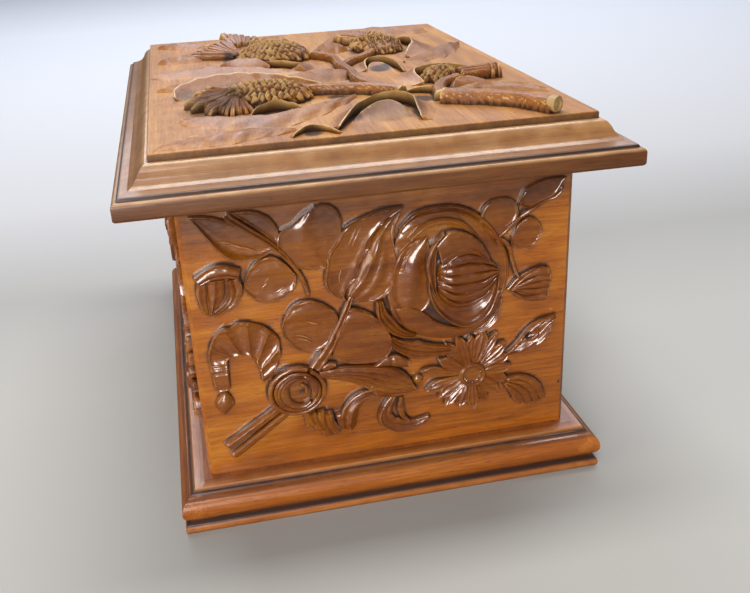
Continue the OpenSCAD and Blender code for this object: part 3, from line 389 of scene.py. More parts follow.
def rose(c):
    """Full-blown rose: outer petals, ring petals, rolled edge and the grooved heart."""
    c.patch([(2, 72), (0, 85), (2, 100), (8, 115), (20, 122), (32, 122)],
            [(2, 72), (14, 61), (32, 58), (48, 66), (54, 90), (32, 122)],
            lambda u, v, d: 2.9, lip=0.8, n=24, m=12)
    c.patch([(6.5, 115.5), (13, 121.5), (20, 123.7), (31, 123.8), (40, 120.6), (46.5, 115.5), (52, 108.5),
             (56.5, 100), (58.3, 91), (57, 80), (52.5, 70)],
            [(8, 112), (14, 115), (22, 116), (29, 116), (36, 113), (42, 107), (46, 100), (48.5, 90),
             (49.5, 80), (49.5, 74), (49, 68)],
            lambda u, v, d: 2.5 + rim(d, 0.9) + 0.9 * hill(v, -0.35, 0.12) * (u < 0.62)
            - 0.5 * groove(v, -0.52, 0.08) * (u < 0.62) + 0.5 * dome(v) * u, lip=0.5, lip_w=0.5, n=54, m=34)
    c.patch([(10, 111), (17, 117), (25.5, 119), (34, 117), (39.5, 112.3), (43.8, 105.5), (47, 96)],
            [(15, 107), (20, 109), (25, 110), (31, 110), (36, 107), (40.5, 102), (45, 95)],
            lambda u, v, d: 3.9 + 1.2 * hill(v, -0.86, 0.14) - 0.7 * hill(v, 0.2, 0.6)
            + 0.4 * groove(v, -0.4, 0.1), lip=0.6, lip_w=0.6, n=40, m=24)
    c.patch([(7, 75), (3, 82), (2.4, 91), (3.4, 98), (6.5, 104.5), (12, 109), (19, 111.5)],
            [(7, 75), (13.5, 73), (19.5, 77), (20.6, 86), (20, 95), (20.6, 104), (19, 111.5)],
            lambda u, v, d: 4.0 + rim(d, 0.5) + 2.5 * hill(v, -0.05, 0.5) * hill(u, 0.55, 0.5)
            - 1.0 * groove(v + 0.62 - 0.35 * (u - 0.7), 0, 0.07) * (u > 0.5), lip=0.9, lip_w=1.0, n=38, m=34)
    c.patch([(3, 77), (6, 69), (12, 63.5), (21, 59.4), (31, 58), (39.5, 59.4), (47, 63.4), (52.5, 70),
             (54.6, 80)],
            [(9, 78), (14, 75.5), (18, 72.5), (22, 68.5), (28.5, 65), (36, 63.6), (43, 65.6), (48.5, 71),
             (52, 80)],
            lambda u, v, d: 3.6 + 1.9 * dome(0.8 * v - 0.2) + 0.5 * hill(v, 0.86, 0.12),
            lip=0.7, lip_w=0.8, n=46, m=22)
    c.patch([(18.6, 94), (18.6, 84), (20.6, 77), (24.5, 70.8), (30, 66), (36, 63.4), (42.4, 64.8),
             (47.6, 69.4), (51, 77), (52.4, 85), (51.8, 93)],
            [(22.5, 94), (24, 86.5), (26.5, 82), (30.5, 78), (36.5, 75.5), (42.5, 76.5), (46.8, 80.5),
             (48.8, 86.5), (50, 93)],
            lambda u, v, d: 5.0 + 2.3 * hill(v, -0.8, 0.2) + 0.4 * hill(v, -0.2, 0.15)
            - 1.6 * hill(v, 0.7, 0.45), lip=0.8, lip_w=0.8, n=50, m=26)
    c.patch([(22.6, 107), (28.5, 112.6), (35.4, 111.6), (41.2, 108), (45.5, 102.6), (48.4, 95.6)],
            [(25.5, 96), (29, 97.5), (34, 100), (39, 100.4), (43.5, 98.4), (47.6, 94.6)],
            lambda u, v, d: 5.4 + 2.3 * dome(0.75 * v + 0.15) - 0.5 * groove(v, 0.35, 0.12),
            lip=0.7, lip_w=1.0, n=34, m=24)
    c.patch([(23, 90), (24.5, 80.5), (31.5, 74.5), (39, 74), (46, 77.5), (50.5, 85), (51.8, 91)],
            [(23, 90), (24.5, 97.5), (31, 101), (38.5, 102), (45, 99), (50, 95), (51.8, 91)],
            lambda u, v, d: 4.0 + 4.3 * dome(0.92 * v) * np.clip((u - 0.04) * 3.4, 0, 1) ** 0.8
            - 2.2 * (1 - ridges((v + 1.02 + 0.1 * np.sin(3 * u)) / 2.04, 6)) ** 3
            * np.clip(u * 3.5 - 0.3, 0, 1)
            - 1.6 * hill(u, 0.14, 0.07) * hill(v, 0.15, 0.35), lip=0.8, n=48, m=72)
    c.strand([(27, 112.5), (22.5, 107), (20, 99.5), (20.3, 90), (22, 82)], [1.2, 4.2, 4.6, 3.4, 1.2],
             lambda u, v, d: 7.4 - 1.2 * groove(v, 0.3, 0.3) + 0.5 * hill(v, -0.6, 0.3), lip=0.8, n=34, m=16)
    for k in range(3):
        c.strand([(26.5 + k, 92 - 3 * k), (28.5 + k, 98 - 5 * k), (33, 101 - 7 * k)], [0.6, 1.6, 0.6],
                 7.4 - k, n=12, m=6)
    # Painted shade in the hollow at the left of the heart.
    c.hollow(26.5, 90, 4.5, 1)
    c.strand([(-4, 82), (-2.6, 74), (1.8, 67.5), (6.8, 63.6), (13, 61.8)], [3, 5.6, 7.4, 6.8, 2],
             lambda u, v, d: 3.8 + 1.2 * ridges((v + 1) / 2, 3), n=34, m=30)
    c.strand([(0, 61.5), (5, 57.2), (12, 53.8), (20, 52), (30, 51.6)], [4, 8, 9.6, 9, 3.6],
             lambda u, v, d: 3.4 + 1.0 * ridges((v + 1) / 2, 4) + 0.8 * hill(v, -0.3, 0.4), n=34, m=34)
    c.strand([(40, 59), (46, 61.5), (51, 67), (54, 76)], [2, 5.6, 6, 1.5],
             lambda u, v, d: 4.2 + 0.8 * ridges((v + 1) / 2, 3), n=24, m=22)


# The daisy's petals: the angle and the length of each
DAISY = ((169, 26), (147, 19.5), (126, 22), (108, 23), (90, 20.5), (75, 24), (58, 24), (40, 22.5),
         (22, 20.5), (3, 20.5), (-18, 19.5), (-42, 18), (-66, 19), (-88, 20), (-110, 19), (-132, 21),
         (-165, 24), (-149, 20))


def daisy(c, x=40.5, y=36.3):
    """Daisy: broad petals with two flutes along each, round a dished middle."""
    for i, (angle, long) in enumerate(DAISY):
        a = math.radians(angle)
        along, side = np.array([math.cos(a), math.sin(a)]), np.array([-math.sin(a), math.cos(a)])
        middle = np.array([x, y])
        wide = 2.7 + 0.4 * (i % 3)
        tip = middle + along * long + side * 0.5 * (i % 2)
        c.patch([middle + along * 4 + side * 1.0, middle + along * long * 0.45 + side * wide * 0.8,
                 middle + along * long * 0.78 + side * wide, tip + side * 0.5],
                [middle + along * 4 - side * 1.0, middle + along * long * 0.45 - side * wide * 0.8,
                 middle + along * long * 0.78 - side * wide, tip - side * 0.5],
                lambda u, v, d: 2.7 + 0.7 * (i % 2) + rim(d, 0.5, 0.4) + 0.6 * hill(v, 0.05, 0.16)
                - 1.3 * (u - 0.6) ** 2, lip=0.5, lip_w=0.5, tuck=0.5, n=16, m=16)
    c.boss(x, y, [(0.05, 3.1), (2.4, 2.9), (3.9, 2.8), (4.5, 3.2), (4.8, 4.5), (5.3, 5.1), (5.9, 5.1),
                  (6.5, 4.4), (6.9, 3.2), (7.0, 1.0), (6.8, -1.2)], 32)


def right_leaves(c):
    """Leaves on the right of the rose, and the twigs that carry them."""
    c.patch([(49, 107.5), (45, 110.5), (44.3, 116), (46.5, 121), (51.5, 124.2), (57.5, 124.3)],
            [(49, 107.5), (55, 107), (60.5, 110.5), (63, 116), (61.5, 121.5), (57.5, 124.3)],
            lambda u, v, d: 2.1 + rim(d, 0.8), lip=0.5, lip_w=0.5, m=20)
    c.patch([(63, 120), (65.5, 126.5), (71, 129.6), (78, 131), (85.5, 131)],
            [(63, 120), (68, 117.6), (75, 119), (81, 122.4), (85.5, 131)],
            lambda u, v, d: 2.0 + rim(d, 0.8) + 0.5 * hill(v, 0.8, 0.2), lip=0.5, lip_w=0.5, m=20)
    c.patch([(60, 105), (62.5, 110.5), (68, 113.8), (72.5, 111), (75, 106)],
            [(60, 105), (59.5, 101), (64, 98.2), (70.5, 99), (75, 106)],
            lambda u, v, d: 2.0 + rim(d, 0.7) + 0.3 * ridges(v + 0.3 * u, 5), lip=0.5, lip_w=0.5, m=26)
    c.strand([(84, 127), (80, 122.5), (73, 119.5), (66, 115.8), (57, 109), (52.5, 105)],
             [1, 2.2, 1.9, 2.2, 2, 1.6],
             lambda u, v, d: 3.6 + 0.5 * np.sin(17 * u), n=34)
    c.strand([(45.5, 112), (50, 107.5), (57.5, 101.5), (60, 93), (62, 87), (64.5, 83)],
             [2.2, 2.4, 2.4, 1.8, 1.6, 1.2], 3.4, n=28)


def rosebud(c):
    """Nodding rosebud under its rolled collar."""
    c.patch([(-84, 104), (-84.6, 96), (-83.8, 88), (-80, 84)],
            [(-65.6, 104.5), (-65.6, 97), (-69, 90), (-78, 84)],
            lambda u, v, d: 2.8, lip=0.8, n=20, m=12)
    c.patch([(-80, 102), (-80.5, 93), (-80, 86.2)], [(-72, 102), (-73, 94), (-79.2, 86)],
            lambda u, v, d: 3.2 + 1.6 * dome(v) - 1.2 * groove(v, 0.1, 0.12), m=20)
    c.strand([(-82.2, 102), (-82.8, 94), (-81.6, 85.2)], [3.6, 4.6, 2],
             lambda u, v, d: 3.8 + 0.6 * hill(v, -0.5, 0.4), lip=0.8, m=12)
    c.strand([(-69, 102), (-68, 95.5), (-71, 89.5), (-78.5, 84.8)], [5, 6, 5.6, 2.4],
             lambda u, v, d: 4.1 + 0.9 * hill(v, -0.5, 0.3) - 0.5 * groove(v, 0, 0.12), lip=0.8, n=28, m=16)
    c.strand([(-84.4, 101.6), (-78, 104.6), (-71.5, 105), (-65.4, 103.2)], [4, 6, 6.2, 4.4],
             lambda u, v, d: 3.9 + 1.3 * dome(v) - 1.0 * groove(v, -0.3, 0.12), lip=0.8, n=28, m=20)


def arch(c):
    """Scalloped arch of ribbon in shallow flutes with thin arrises, its leg and the drop under it."""
    outer = [(-83.6, 60.5), (-83.4, 67), (-80.4, 73.6), (-76, 77.4), (-72, 77.6), (-68.6, 79.6), (-64, 79.2),
             (-60.6, 77.8), (-57.4, 76.2), (-53.4, 72.6), (-51, 68.6), (-51.2, 64.4), (-50.8, 61),
             (-53, 55.6), (-56, 49)]
    inner = [(-75.4, 60.5), (-75.2, 61.5), (-73.4, 62.8), (-71, 63.2), (-68.6, 63.4), (-66.4, 63),
             (-64.4, 61.8), (-62.8, 59.6), (-61.6, 56.6), (-61, 53), (-60.6, 48)]
    c.patch(outer, inner,
            lambda u, v, d: 3.9 - 1.3 * ridges(u + 0.02, 6.4) ** 0.7 * (1 - 0.3 * v) + rim(d, 0.6, 0.4),
            lip=0.5, lip_w=0.5, n=96, m=16)
    c.strand([(-79.4, 61), (-79.2, 53), (-79, 46)], [8.4, 8.2, 6.6],
             lambda u, v, d: 2.7 + 0.9 * dome(v) + 0.8 * hill(u, 0.2, 0.05) - 0.8 * hill(u, 0.32, 0.05)
             + rim(d, 0.4, 0.4), lip=0.5, n=34, m=16)
    c.patch([(-78.2, 46), (-81.6, 42.4), (-83.2, 38.6), (-79.4, 33.2)],
            [(-78.2, 46), (-75.6, 42.2), (-74.6, 38), (-79.4, 33.2)],
            lambda u, v, d: 1.2 + 3.0 * dome(v) * dome(1.7 * u - 0.95), lip=0.6, n=18, m=14)


def knot(c):
    """Coiled knot of ribbon with two straight tails."""
    def arc(rx, ry, start, end, count):
        return [(-45 + rx * math.cos(math.radians(a)), 40.8 + ry * math.sin(math.radians(a)))
                for a in np.linspace(start, end, count)]

    for line in ([(-52, 34), (-66, 24.8), (-80.5, 15.5)], [(-49.5, 30.5), (-64, 20), (-78.5, 10)]):
        c.strand(line, [3.8, 4.2, 4.2], lambda u, v, d: 2.6 + 1.1 * dome(v) + 0.4 * hill(v, -0.5, 0.2),
                 lip=0.6, ends=0.6, n=26, m=14)
    c.patch(arc(9.8, 9.2, 90, 270, 7), arc(9.8, 9.2, 90, -90, 7), lambda u, v, d: 2.6, lip=0.3, n=24, m=12)
    c.strand(arc(12.6, 11.8, 60, 419, 16), 2.2, lambda u, v, d: 3.9 + 0.5 * dome(v), lip=0.6, n=64)
    c.strand(arc(10.2, 9.5, 40, 400, 15), 2.0, lambda u, v, d: 4.5 + 0.5 * dome(v), lip=0.6, n=60)
    c.strand([(-40, 47.6), (-46.5, 48), (-51.4, 43.6), (-51.6, 38), (-48, 33.8), (-42.5, 32.8),
              (-38.8, 35.6)],
             [1.5, 5, 6.4, 6.4, 5.4, 4, 1.5],
             lambda u, v, d: 4.2 + 1.1 * dome(v) - 0.7 * groove(v, -0.35, 0.12), lip=0.8, n=44, m=18)
    c.strand([(-42, 49.6), (-38, 46.4), (-36.6, 41.5), (-38, 36.4)], [1.4, 4, 4.2, 1.6],
             lambda u, v, d: 5.2 + 0.6 * dome(v), lip=0.8, n=28, m=12)
    c.strand([(-43.2, 45), (-40.8, 42.6), (-41.2, 39.4)], [0.8, 1.8, 0.8], 4.6, n=14)
    # Painted shade in the slit at the middle of the knot.
    c.hollow(-43.4, 40.6, 2, 1, 6)
    c.strand([(-33, 50.5), (-29.5, 51.8), (-25.5, 52)], [2, 3.4, 1.4], 4.2, n=12)


def ribbon(c):
    """Broad fluted ribbon with its upper fold, and the small node beside it."""
    c.patch([(-34, 49.6), (-25, 50.2), (-15, 50), (-6, 48.8), (2, 46), (8.4, 40.6), (13, 32)],
            [(-34, 46), (-26, 43.5), (-18, 40.4), (-11, 36), (-6.4, 31.4), (0.6, 29.8), (13, 31.4)],
            lambda u, v, d: 3.1 + 0.8 * dome(v) + 1.4 * hill(v, -0.7, 0.22) * u
            + 0.9 * ridges((v + 1) / 2, 6) * np.clip(1.3 - 2.6 * np.abs(u - 0.55), 0, 1),
            lip=0.6, n=46, m=54)
    c.patch([(-8, 49.6), (-3, 52.6), (4, 52.6), (9, 49.6)], [(-8, 48.6), (-2, 48), (4, 46.6), (8.4, 46)],
            lambda u, v, d: 4.4 + 1.2 * dome(v) - 0.6 * groove(u, 0.5, 0.05), lip=0.7, n=24, m=14)
    c.strand([(-10.5, 38), (-8, 36.5), (-7.6, 33)], [1, 2.6, 1.6], 4.4, n=12)
    c.boss(13.6, 37, [(0.05, 3.0), (1.2, 2.9), (2.2, 2.3), (2.7, 1.4), (2.8, -1.2)], 16)


def ribbon_tail(c):
    """Folded tail of ribbon along the foot of the field."""
    folds = (((-41.5, 28.5), (-40, 24), (-39, 20.5)), ((-38.5, 27.5), (-37, 22), (-34.5, 17)),
             ((-34.5, 28), (-34, 21), (-31, 13.5)), ((-31, 26.5), (-30, 20), (-27, 14.5)))
    for i, line in enumerate(folds):
        c.strand(line, [3.4, 5.4, 5.4], lambda u, v, d: 2.6 + 0.35 * i + 1.5 * hill(v, 0.25, 0.4),
                 lip=0.6, n=18, m=14)
    c.strand([(-26, 24.5), (-25, 20), (-24.4, 16)], [3, 4.6, 4.4], 2.7, lip=0.7)
    c.strand([(-22, 15), (-21.8, 20.5), (-19.8, 26.5), (-15.6, 31.2), (-9, 33.4), (0, 31.6)],
             [6.5, 8, 8.4, 6.6, 3.4, 1.4],
             lambda u, v, d: 3.1 + 1.9 * hill(v, -0.2, 0.4) - 0.7 * groove(v, 0.4, 0.14),
             lip=0.7, n=40, m=22)
    c.strand([(1.8, 31), (-1.5, 25.5), (-3.4, 20), (-1.5, 15.8), (3.5, 13), (10, 12.2), (15, 13.6),
              (19, 15.4)],
             [3, 7, 8, 7.4, 7, 8, 6.6, 2.5],
             lambda u, v, d: 2.4 + 0.7 * dome(v) + 1.2 * hill(v, -0.75, 0.16) * (u > 0.2)
             - 0.6 * groove(v, 0.1, 0.14), lip=0.6, n=46, m=24)
    c.strand([(4.8, 30), (4.4, 24), (5.4, 18.4), (8.6, 15)], [1.5, 3.4, 3.2, 1],
             lambda u, v, d: 3.2 + 0.8 * dome(v), lip=0.6, n=20, m=12)


def ribbed_bud(c):
    """Shell-like bud with fanned flutes."""
    c.patch([(58, 78.4), (64, 74), (72, 71.6), (78.6, 72.6)],
            [(58, 78.8), (63, 84), (71, 87.8), (78.6, 86.6)],
            lambda u, v, d: 2.4 + 0.8 * u, lip=0.6, n=18, m=12)
    for i, (ey, hy) in enumerate(((73.6, 73), (76.9, 76.3), (80, 79.6), (83, 83), (85.6, 86))):
        bow = (-2.0, 0, 0, 0, 1.2)[i]
        c.strand([(59, 78.6), (66, 0.6 * ey + 0.4 * 78.6 + bow), (73, hy), (80 - abs(i - 2.5), ey)],
                 [0.8, 3.4, 4.2, 3.6], lambda u, v, d: 2.5 + 1.6 * dome(v) + 1.0 * u, lip=0.4, n=22, m=12)


def leafy_bud(c):
    """Pointed bud in its leaf, with a fold at its middle."""
    c.patch([(56.4, 43.6), (63, 49.6), (68, 55.6), (74, 60), (83.4, 62.2)],
            [(56.4, 43.6), (65, 43.8), (72.6, 46), (78.8, 51.6), (83.4, 62.2)],
            lambda u, v, d: 2.6 + rim(d, 0.9) + 1.2 * hill(v, 0.5, 0.25)
            - 1.4 * hill(v, -0.2, 0.2) * hill(u, 0.45, 0.25)
            + 0.5 * ridges(v, 3) * (u > 0.5), lip=0.5, lip_w=0.5, n=32, m=30)
    c.strand([(66.5, 52.6), (70.5, 50.4), (73.8, 53), (73, 57.4)], [1, 2.4, 2.2, 0.8], 3.6, n=16)
    # Painted shade inside the curled leaf.
    c.hollow(68.5, 53, 2.4, 0.9)


def bell_bud(c):
    """Bell-shaped bud of four overlapping petals."""
    c.patch([(56.6, 30.8), (66, 31.2), (74.6, 26.4), (79.8, 15.4)],
            [(56.6, 28.6), (60.4, 22.6), (63.4, 17.6), (66, 14.4)],
            lambda u, v, d: 2.2, lip=0.6, n=18, m=10)
    lines = ([(57.5, 30.4), (66, 29.8), (73, 25.2), (78.2, 15.4)],
             [(57.8, 29.8), (65, 27.6), (71, 22.8), (74.6, 14.4)],
             [(57.5, 29), (63, 25.6), (68, 20.5), (70.6, 14.2)],
             [(57, 28.4), (61, 24), (64, 19.8), (66.6, 15.6)])
    for i, line in enumerate(lines):
        c.strand(line, [1.2, 3.8, 5, 3.4], lambda u, v, d: 2.4 + 0.3 * i + 1.5 * dome(v),
                 lip=0.4, n=22, m=12)


def near_drawing(c):
    """Everything that is carved on the near end."""
    for draw in (corner_leaf, round_leaflet, stem_leaves, rose, daisy, right_leaves, rosebud, arch, knot,
                 ribbon, ribbon_tail, ribbed_bud, leafy_bud, bell_bud):
        draw(c)


# The other carved boards

def far_drawing(c):
    """The far end: the rose between mirrored leaves, buds and ribbons."""
    rose(c.placed(-27, 0))
    for side in (1, -1):
        stem_leaves(c.placed(-34 * side, 0, flip=side))
        ribbon_tail(c.placed(-12 * side, -2, flip=side))
        bell_bud(c.placed(-6 * side, 0, flip=side))


def long_drawing(c):
    """The long front: the rose between mirrored leaves, ribbons and daisies."""
    rose(c.placed(-27, 0))
    for side in (1, -1):
        stem_leaves(c.placed(-38 * side, 0, flip=side))
        corner_leaf(c.placed(-44 * side, 0, flip=side))
        ribbon_tail(c.placed(-22 * side, 0, flip=side))
        ribbon(c.placed(-28 * side, 0, flip=side))
        daisy(c.placed(0, 0, flip=side), -106, 40)


# The carved drawing of the lid, in millimetres from its middle

def scaly(c, scale, x, y, turn, long, wide, high, pitch=2.9):
    """Scaly cup of a thistle: a domed body under staggered rows of small upturned scales."""
    low = 1.0
    c.placed(x, y, turn)
    c.cups.append((x, y, max(long, wide) / 2))
    a, b = long / 2, wide / 2
    outline = [(-a, 0), (-0.72 * a, 0.68 * b), (0, b), (0.72 * a, 0.68 * b), (a, 0)]

    def surface(px, py):
        return low + (high - low) * np.sqrt(np.clip(1 - (px / a) ** 2 - (py / b) ** 2, 0, 1))

    c.patch(outline, [(px, -py) for px, py in outline],
            lambda u, v, d: low - 0.9 + (high - low) * dome(v) * dome(2 * u - 1),
            lip=0.3, tuck=0.6, n=20, m=12)
    rows = int(long / pitch)
    for i in range(rows):
        px = -a * 0.94 + 1.88 * a * i / (rows - 1)
        reach = b * math.sqrt(1 - min(0.97, (px / a) ** 2)) * 0.98
        across = max(1, int(2 * reach / (pitch * 0.85)))
        for j in range(across):
            py = -reach + (j + 0.5 + 0.3 * math.sin(5 * i + 3 * j)) * 2 * reach / across
            lean = math.degrees(math.atan2(py / b, 1.4)) + 16 * math.sin(7 * i + 11 * j)
            size = 1.1 + 0.42 * math.sin(3 * i + 5 * j) ** 2
            c.repeat(scale, px, py, surface(px, py) - 0.9, lean, size, 44 + 16 * math.sin(i + 4 * j))
    c.placed()


def tuft(c, x, y, turn, spread, long, count, root, tips, wide, fray):
    """Flaring tuft of a thistle: flutes fanned out from its mouth. tips are the heights of the first and the
    last tip."""
    c.placed(x, y, turn)
    for layer in (0, 1):
        for k in range(count - layer):
            a = math.radians(-spread / 2 + spread * (k + 0.5 * layer) / (count - 1))
            reach = long * (1 - 0.22 * layer) * (1 - fray * (k * 5 % 7) / 7)
            tip = tips[0] + (tips[1] - tips[0]) * k / (count - 1)
            start = [3 * math.cos(a), 0.16 * long * math.sin(a)]
            ends = [start, (reach * 0.55 * math.cos(a), reach * 0.55 * math.sin(a)),
                    (reach * math.cos(a * 1.08), reach * math.sin(a * 1.08))]
            c.strand(ends, [wide * 0.55, wide, wide * 0.8],
                     lambda u, v, d: root + (tip - root) * u + 0.9 * layer + 0.8 * dome(v)
                     - 0.6 * hill(v, 0.1, 0.14), lip=0.7, lip_w=0.6, ends=0.5, n=10, m=8)
    c.placed()


def lobed(soft, crisp, lobes, deep, n):
    """The crisp edge of a leaf with its lobes cut in."""
    a, b = line_through(soft, n), line_through(crisp, n)
    out = (b - a) / np.maximum(np.linalg.norm(b - a, axis=1), 0.1)[:, None]
    u = np.linspace(0, 1, n + 1)[:, None]
    return b + out * (deep * (ridges(u, lobes) - 0.6) * dome(2 * u - 1) ** 0.5)


def leaf(c, soft, crisp, high, crest=0.62, lobes=3, flutes=0, n=44):
    """Leaf that swells out of the ground along its soft line to a crest, and falls to a thin crisp edge."""
    edge, vein = 0.04, 0.5      # the share of its height left at the edge, and how deep its vein is cut

    def height(u, v, d):
        w = (v + 1) / 2
        rise = np.sin(math.pi * np.clip(0.06 + 0.88 * u, 0, 1)) ** 0.6
        at = crest + 0.05 * np.sin(7 * u)
        up = np.sin(0.5 * math.pi * np.clip(w / at, 0, 1)) ** 1.7
        down = edge + (1 - edge) * np.cos(0.5 * math.pi * np.clip((w - at) / (1 - at), 0, 1)) ** 1.1
        z = -0.4 + (high + 0.4) * rise * np.where(w < at, up, down) + 0.9 * hill(w, at, 0.05) * rise
        z = z - vein * hill(w, 0.34 + 0.07 * np.sin(5 * u), 0.045) * rise
        if flutes:
            z = z + 1.1 * (ridges(u + 0.2 * w, flutes) - 0.6) * w * rise
        return z

    c.patch(soft, lobed(soft, crisp, lobes, 1.3, n), height,
            lip=0.1, lip_w=0.4, tuck=0.9, n=n, m=20, least=-0.9)


def curl(c, soft, crisp, high, bend=1.5, lobes=2, flutes=0, n=40):
    """Leaf that rises out of the ground along its soft line to a thin rim over a hollow."""
    def height(u, v, d):
        w = (v + 1) / 2
        rise = np.sin(math.pi * np.clip(0.06 + 0.88 * u, 0, 1)) ** 0.6
        z = -0.4 + (high + 0.4) * rise * w ** bend + 0.3 * hill(w, 0.92, 0.07)
        z = z - 0.4 * hill(w, 0.55 + 0.05 * np.sin(5 * u), 0.05) * rise
        if flutes:
            z = z + 0.8 * (ridges(u, flutes) - 0.5) * w ** 2 * rise
        return z

    c.patch(soft, lobed(soft, crisp, lobes, 0.9, n), height,
            lip=0.1, lip_w=0.4, tuck=2.4, n=n, m=16, least=-0.9)


def inside(c, front, back, high, n=24):
    """The hollow face under a curled leaf, dished from the ground in front up to its back."""
    c.patch(front, back, lambda u, v, d: -0.25 + high * np.sin(math.pi * np.clip(u, 0.03, 0.97)) ** 0.7
            * ((v + 1) / 2) ** 2.4, lip=0.05, tuck=0.1, n=n, m=8, least=-0.9)


def branch(c):
    """Thick cut branch, and the fluted stems that leave it."""
    c.strand([(78.5, -136), (75, -130), (68, -119), (58, -109.5), (48, -103), (39, -97)],
             [7.6, 7.2, 6.4, 7.2, 8.6, 9],
             lambda u, v, d: 1.6 + 4.6 * dome(v) + 0.25 * ridges((v + 1) / 2, 6),
             lip=0.6, ends=0, n=70, m=22)
    for line, wide, high in (
            (((24, -79), (18, -72), (8, -65), (-4, -60), (-16, -58), (-26, -62)),
             [7.4, 7, 6.4, 5.6, 5, 4], 5.0),
            (((20, -72), (15, -60), (10, -42), (10, -20), (8, 4), (8, 26), (-2, 42)),
             [6, 5.6, 5.2, 4.8, 4.6, 4.4, 4.4], 4.2),
            (((8, -2), (16, 12), (26, 24), (36, 40)), [4.4, 4.4, 4.2, 4], 3.8),
            (((39, -95), (42, -80), (48, -68), (58, -60)), [7, 6, 5.4, 5], 4.6)):
        c.strand(line, wide, lambda u, v, d: high * (0.45 + 0.55 * dome(v)) + 0.35 * ridges((v + 1) / 2, 3),
                 lip=0.6, ends=0, n=54, m=18)


BRANCH_END = (79.2, -137.2, 3.6)
BRANCH_TURN = -58     # which way the branch's end faces, in degrees


def branch_end(c):
    """The sawn end of the branch: a ring of bark standing round the sunken wood."""
    bpy.ops.mesh.primitive_circle_add(vertices=26, radius=3.4, fill_type="NGON")
    stub = bpy.context.object
    bpy.ops.object.mode_set(mode="EDIT")
    bark_and_wood = ((1.4, 1.12), (2.2, 1.0), (0.5, 0.93), (0.0, 0.8), (-0.9, 0.9), (0.0, 0.5), (0.3, 0.6))
    for move, size in bark_and_wood:
        bpy.ops.mesh.extrude_region_move(TRANSFORM_OT_translate={"value": (0, 0, move)})
        bpy.ops.transform.resize(value=(size, size, 1))
    bpy.ops.mesh.select_all(action="SELECT")
    bpy.ops.mesh.normals_make_consistent(inside=False)
    bpy.ops.object.mode_set(mode="OBJECT")
    stub.data.transform(Matrix.Translation(BRANCH_END) @ Matrix.Rotation(math.radians(BRANCH_TURN), 4, "Z")
                        @ Matrix.Rotation(math.radians(90), 4, "Y") @ Matrix.Translation((0, 0, -3.4)))
    c.forms.append(stub)


def cut_thistle(c):
    """Barrel of the cut thistle on the right: a short ribbed cylinder with a ringed end."""
    c.placed(70, -52, 4)
    c.strand([(-11, -2), (0, 0), (11.5, 1.5)], [9.5, 10, 10.4],
             lambda u, v, d: 1.2 + 5.0 * dome(v) + 0.5 * ridges((v + 1) / 2, 7),
             lip=0.5, ends=0.8, n=22, m=30)
    for x, wide in ((7.4, 11.2), (11.4, 11.6)):
        c.strand([(x, -wide / 2), (x + 0.4, 0), (x, wide / 2)], 2.0,
                 lambda u, v, d: 1.2 + 5.6 * dome(2 * u - 1) + 0.4 * dome(v), lip=0.6, ends=0, n=20, m=6)
    c.placed()


def crown(c, x, y, turn, spread, long, count, high):
    """Short spikes standing up round the far side of a thistle's cup."""
    for k in range(count):
        a = math.radians(turn - spread / 2 + spread * k / (count - 1))
        ax, ay = math.cos(a), math.sin(a)
        tip = long + 1.2 * (k % 2)
        c.strand([(x + ax * (long - 6), y + ay * (long - 6)), (x + ax * tip, y + ay * tip)], [3.4, 2.6],
                 lambda u, v, d: high + 0.8 * dome(v) - 1.4 * u, lip=0.8, lip_w=0.9, n=8, m=6)


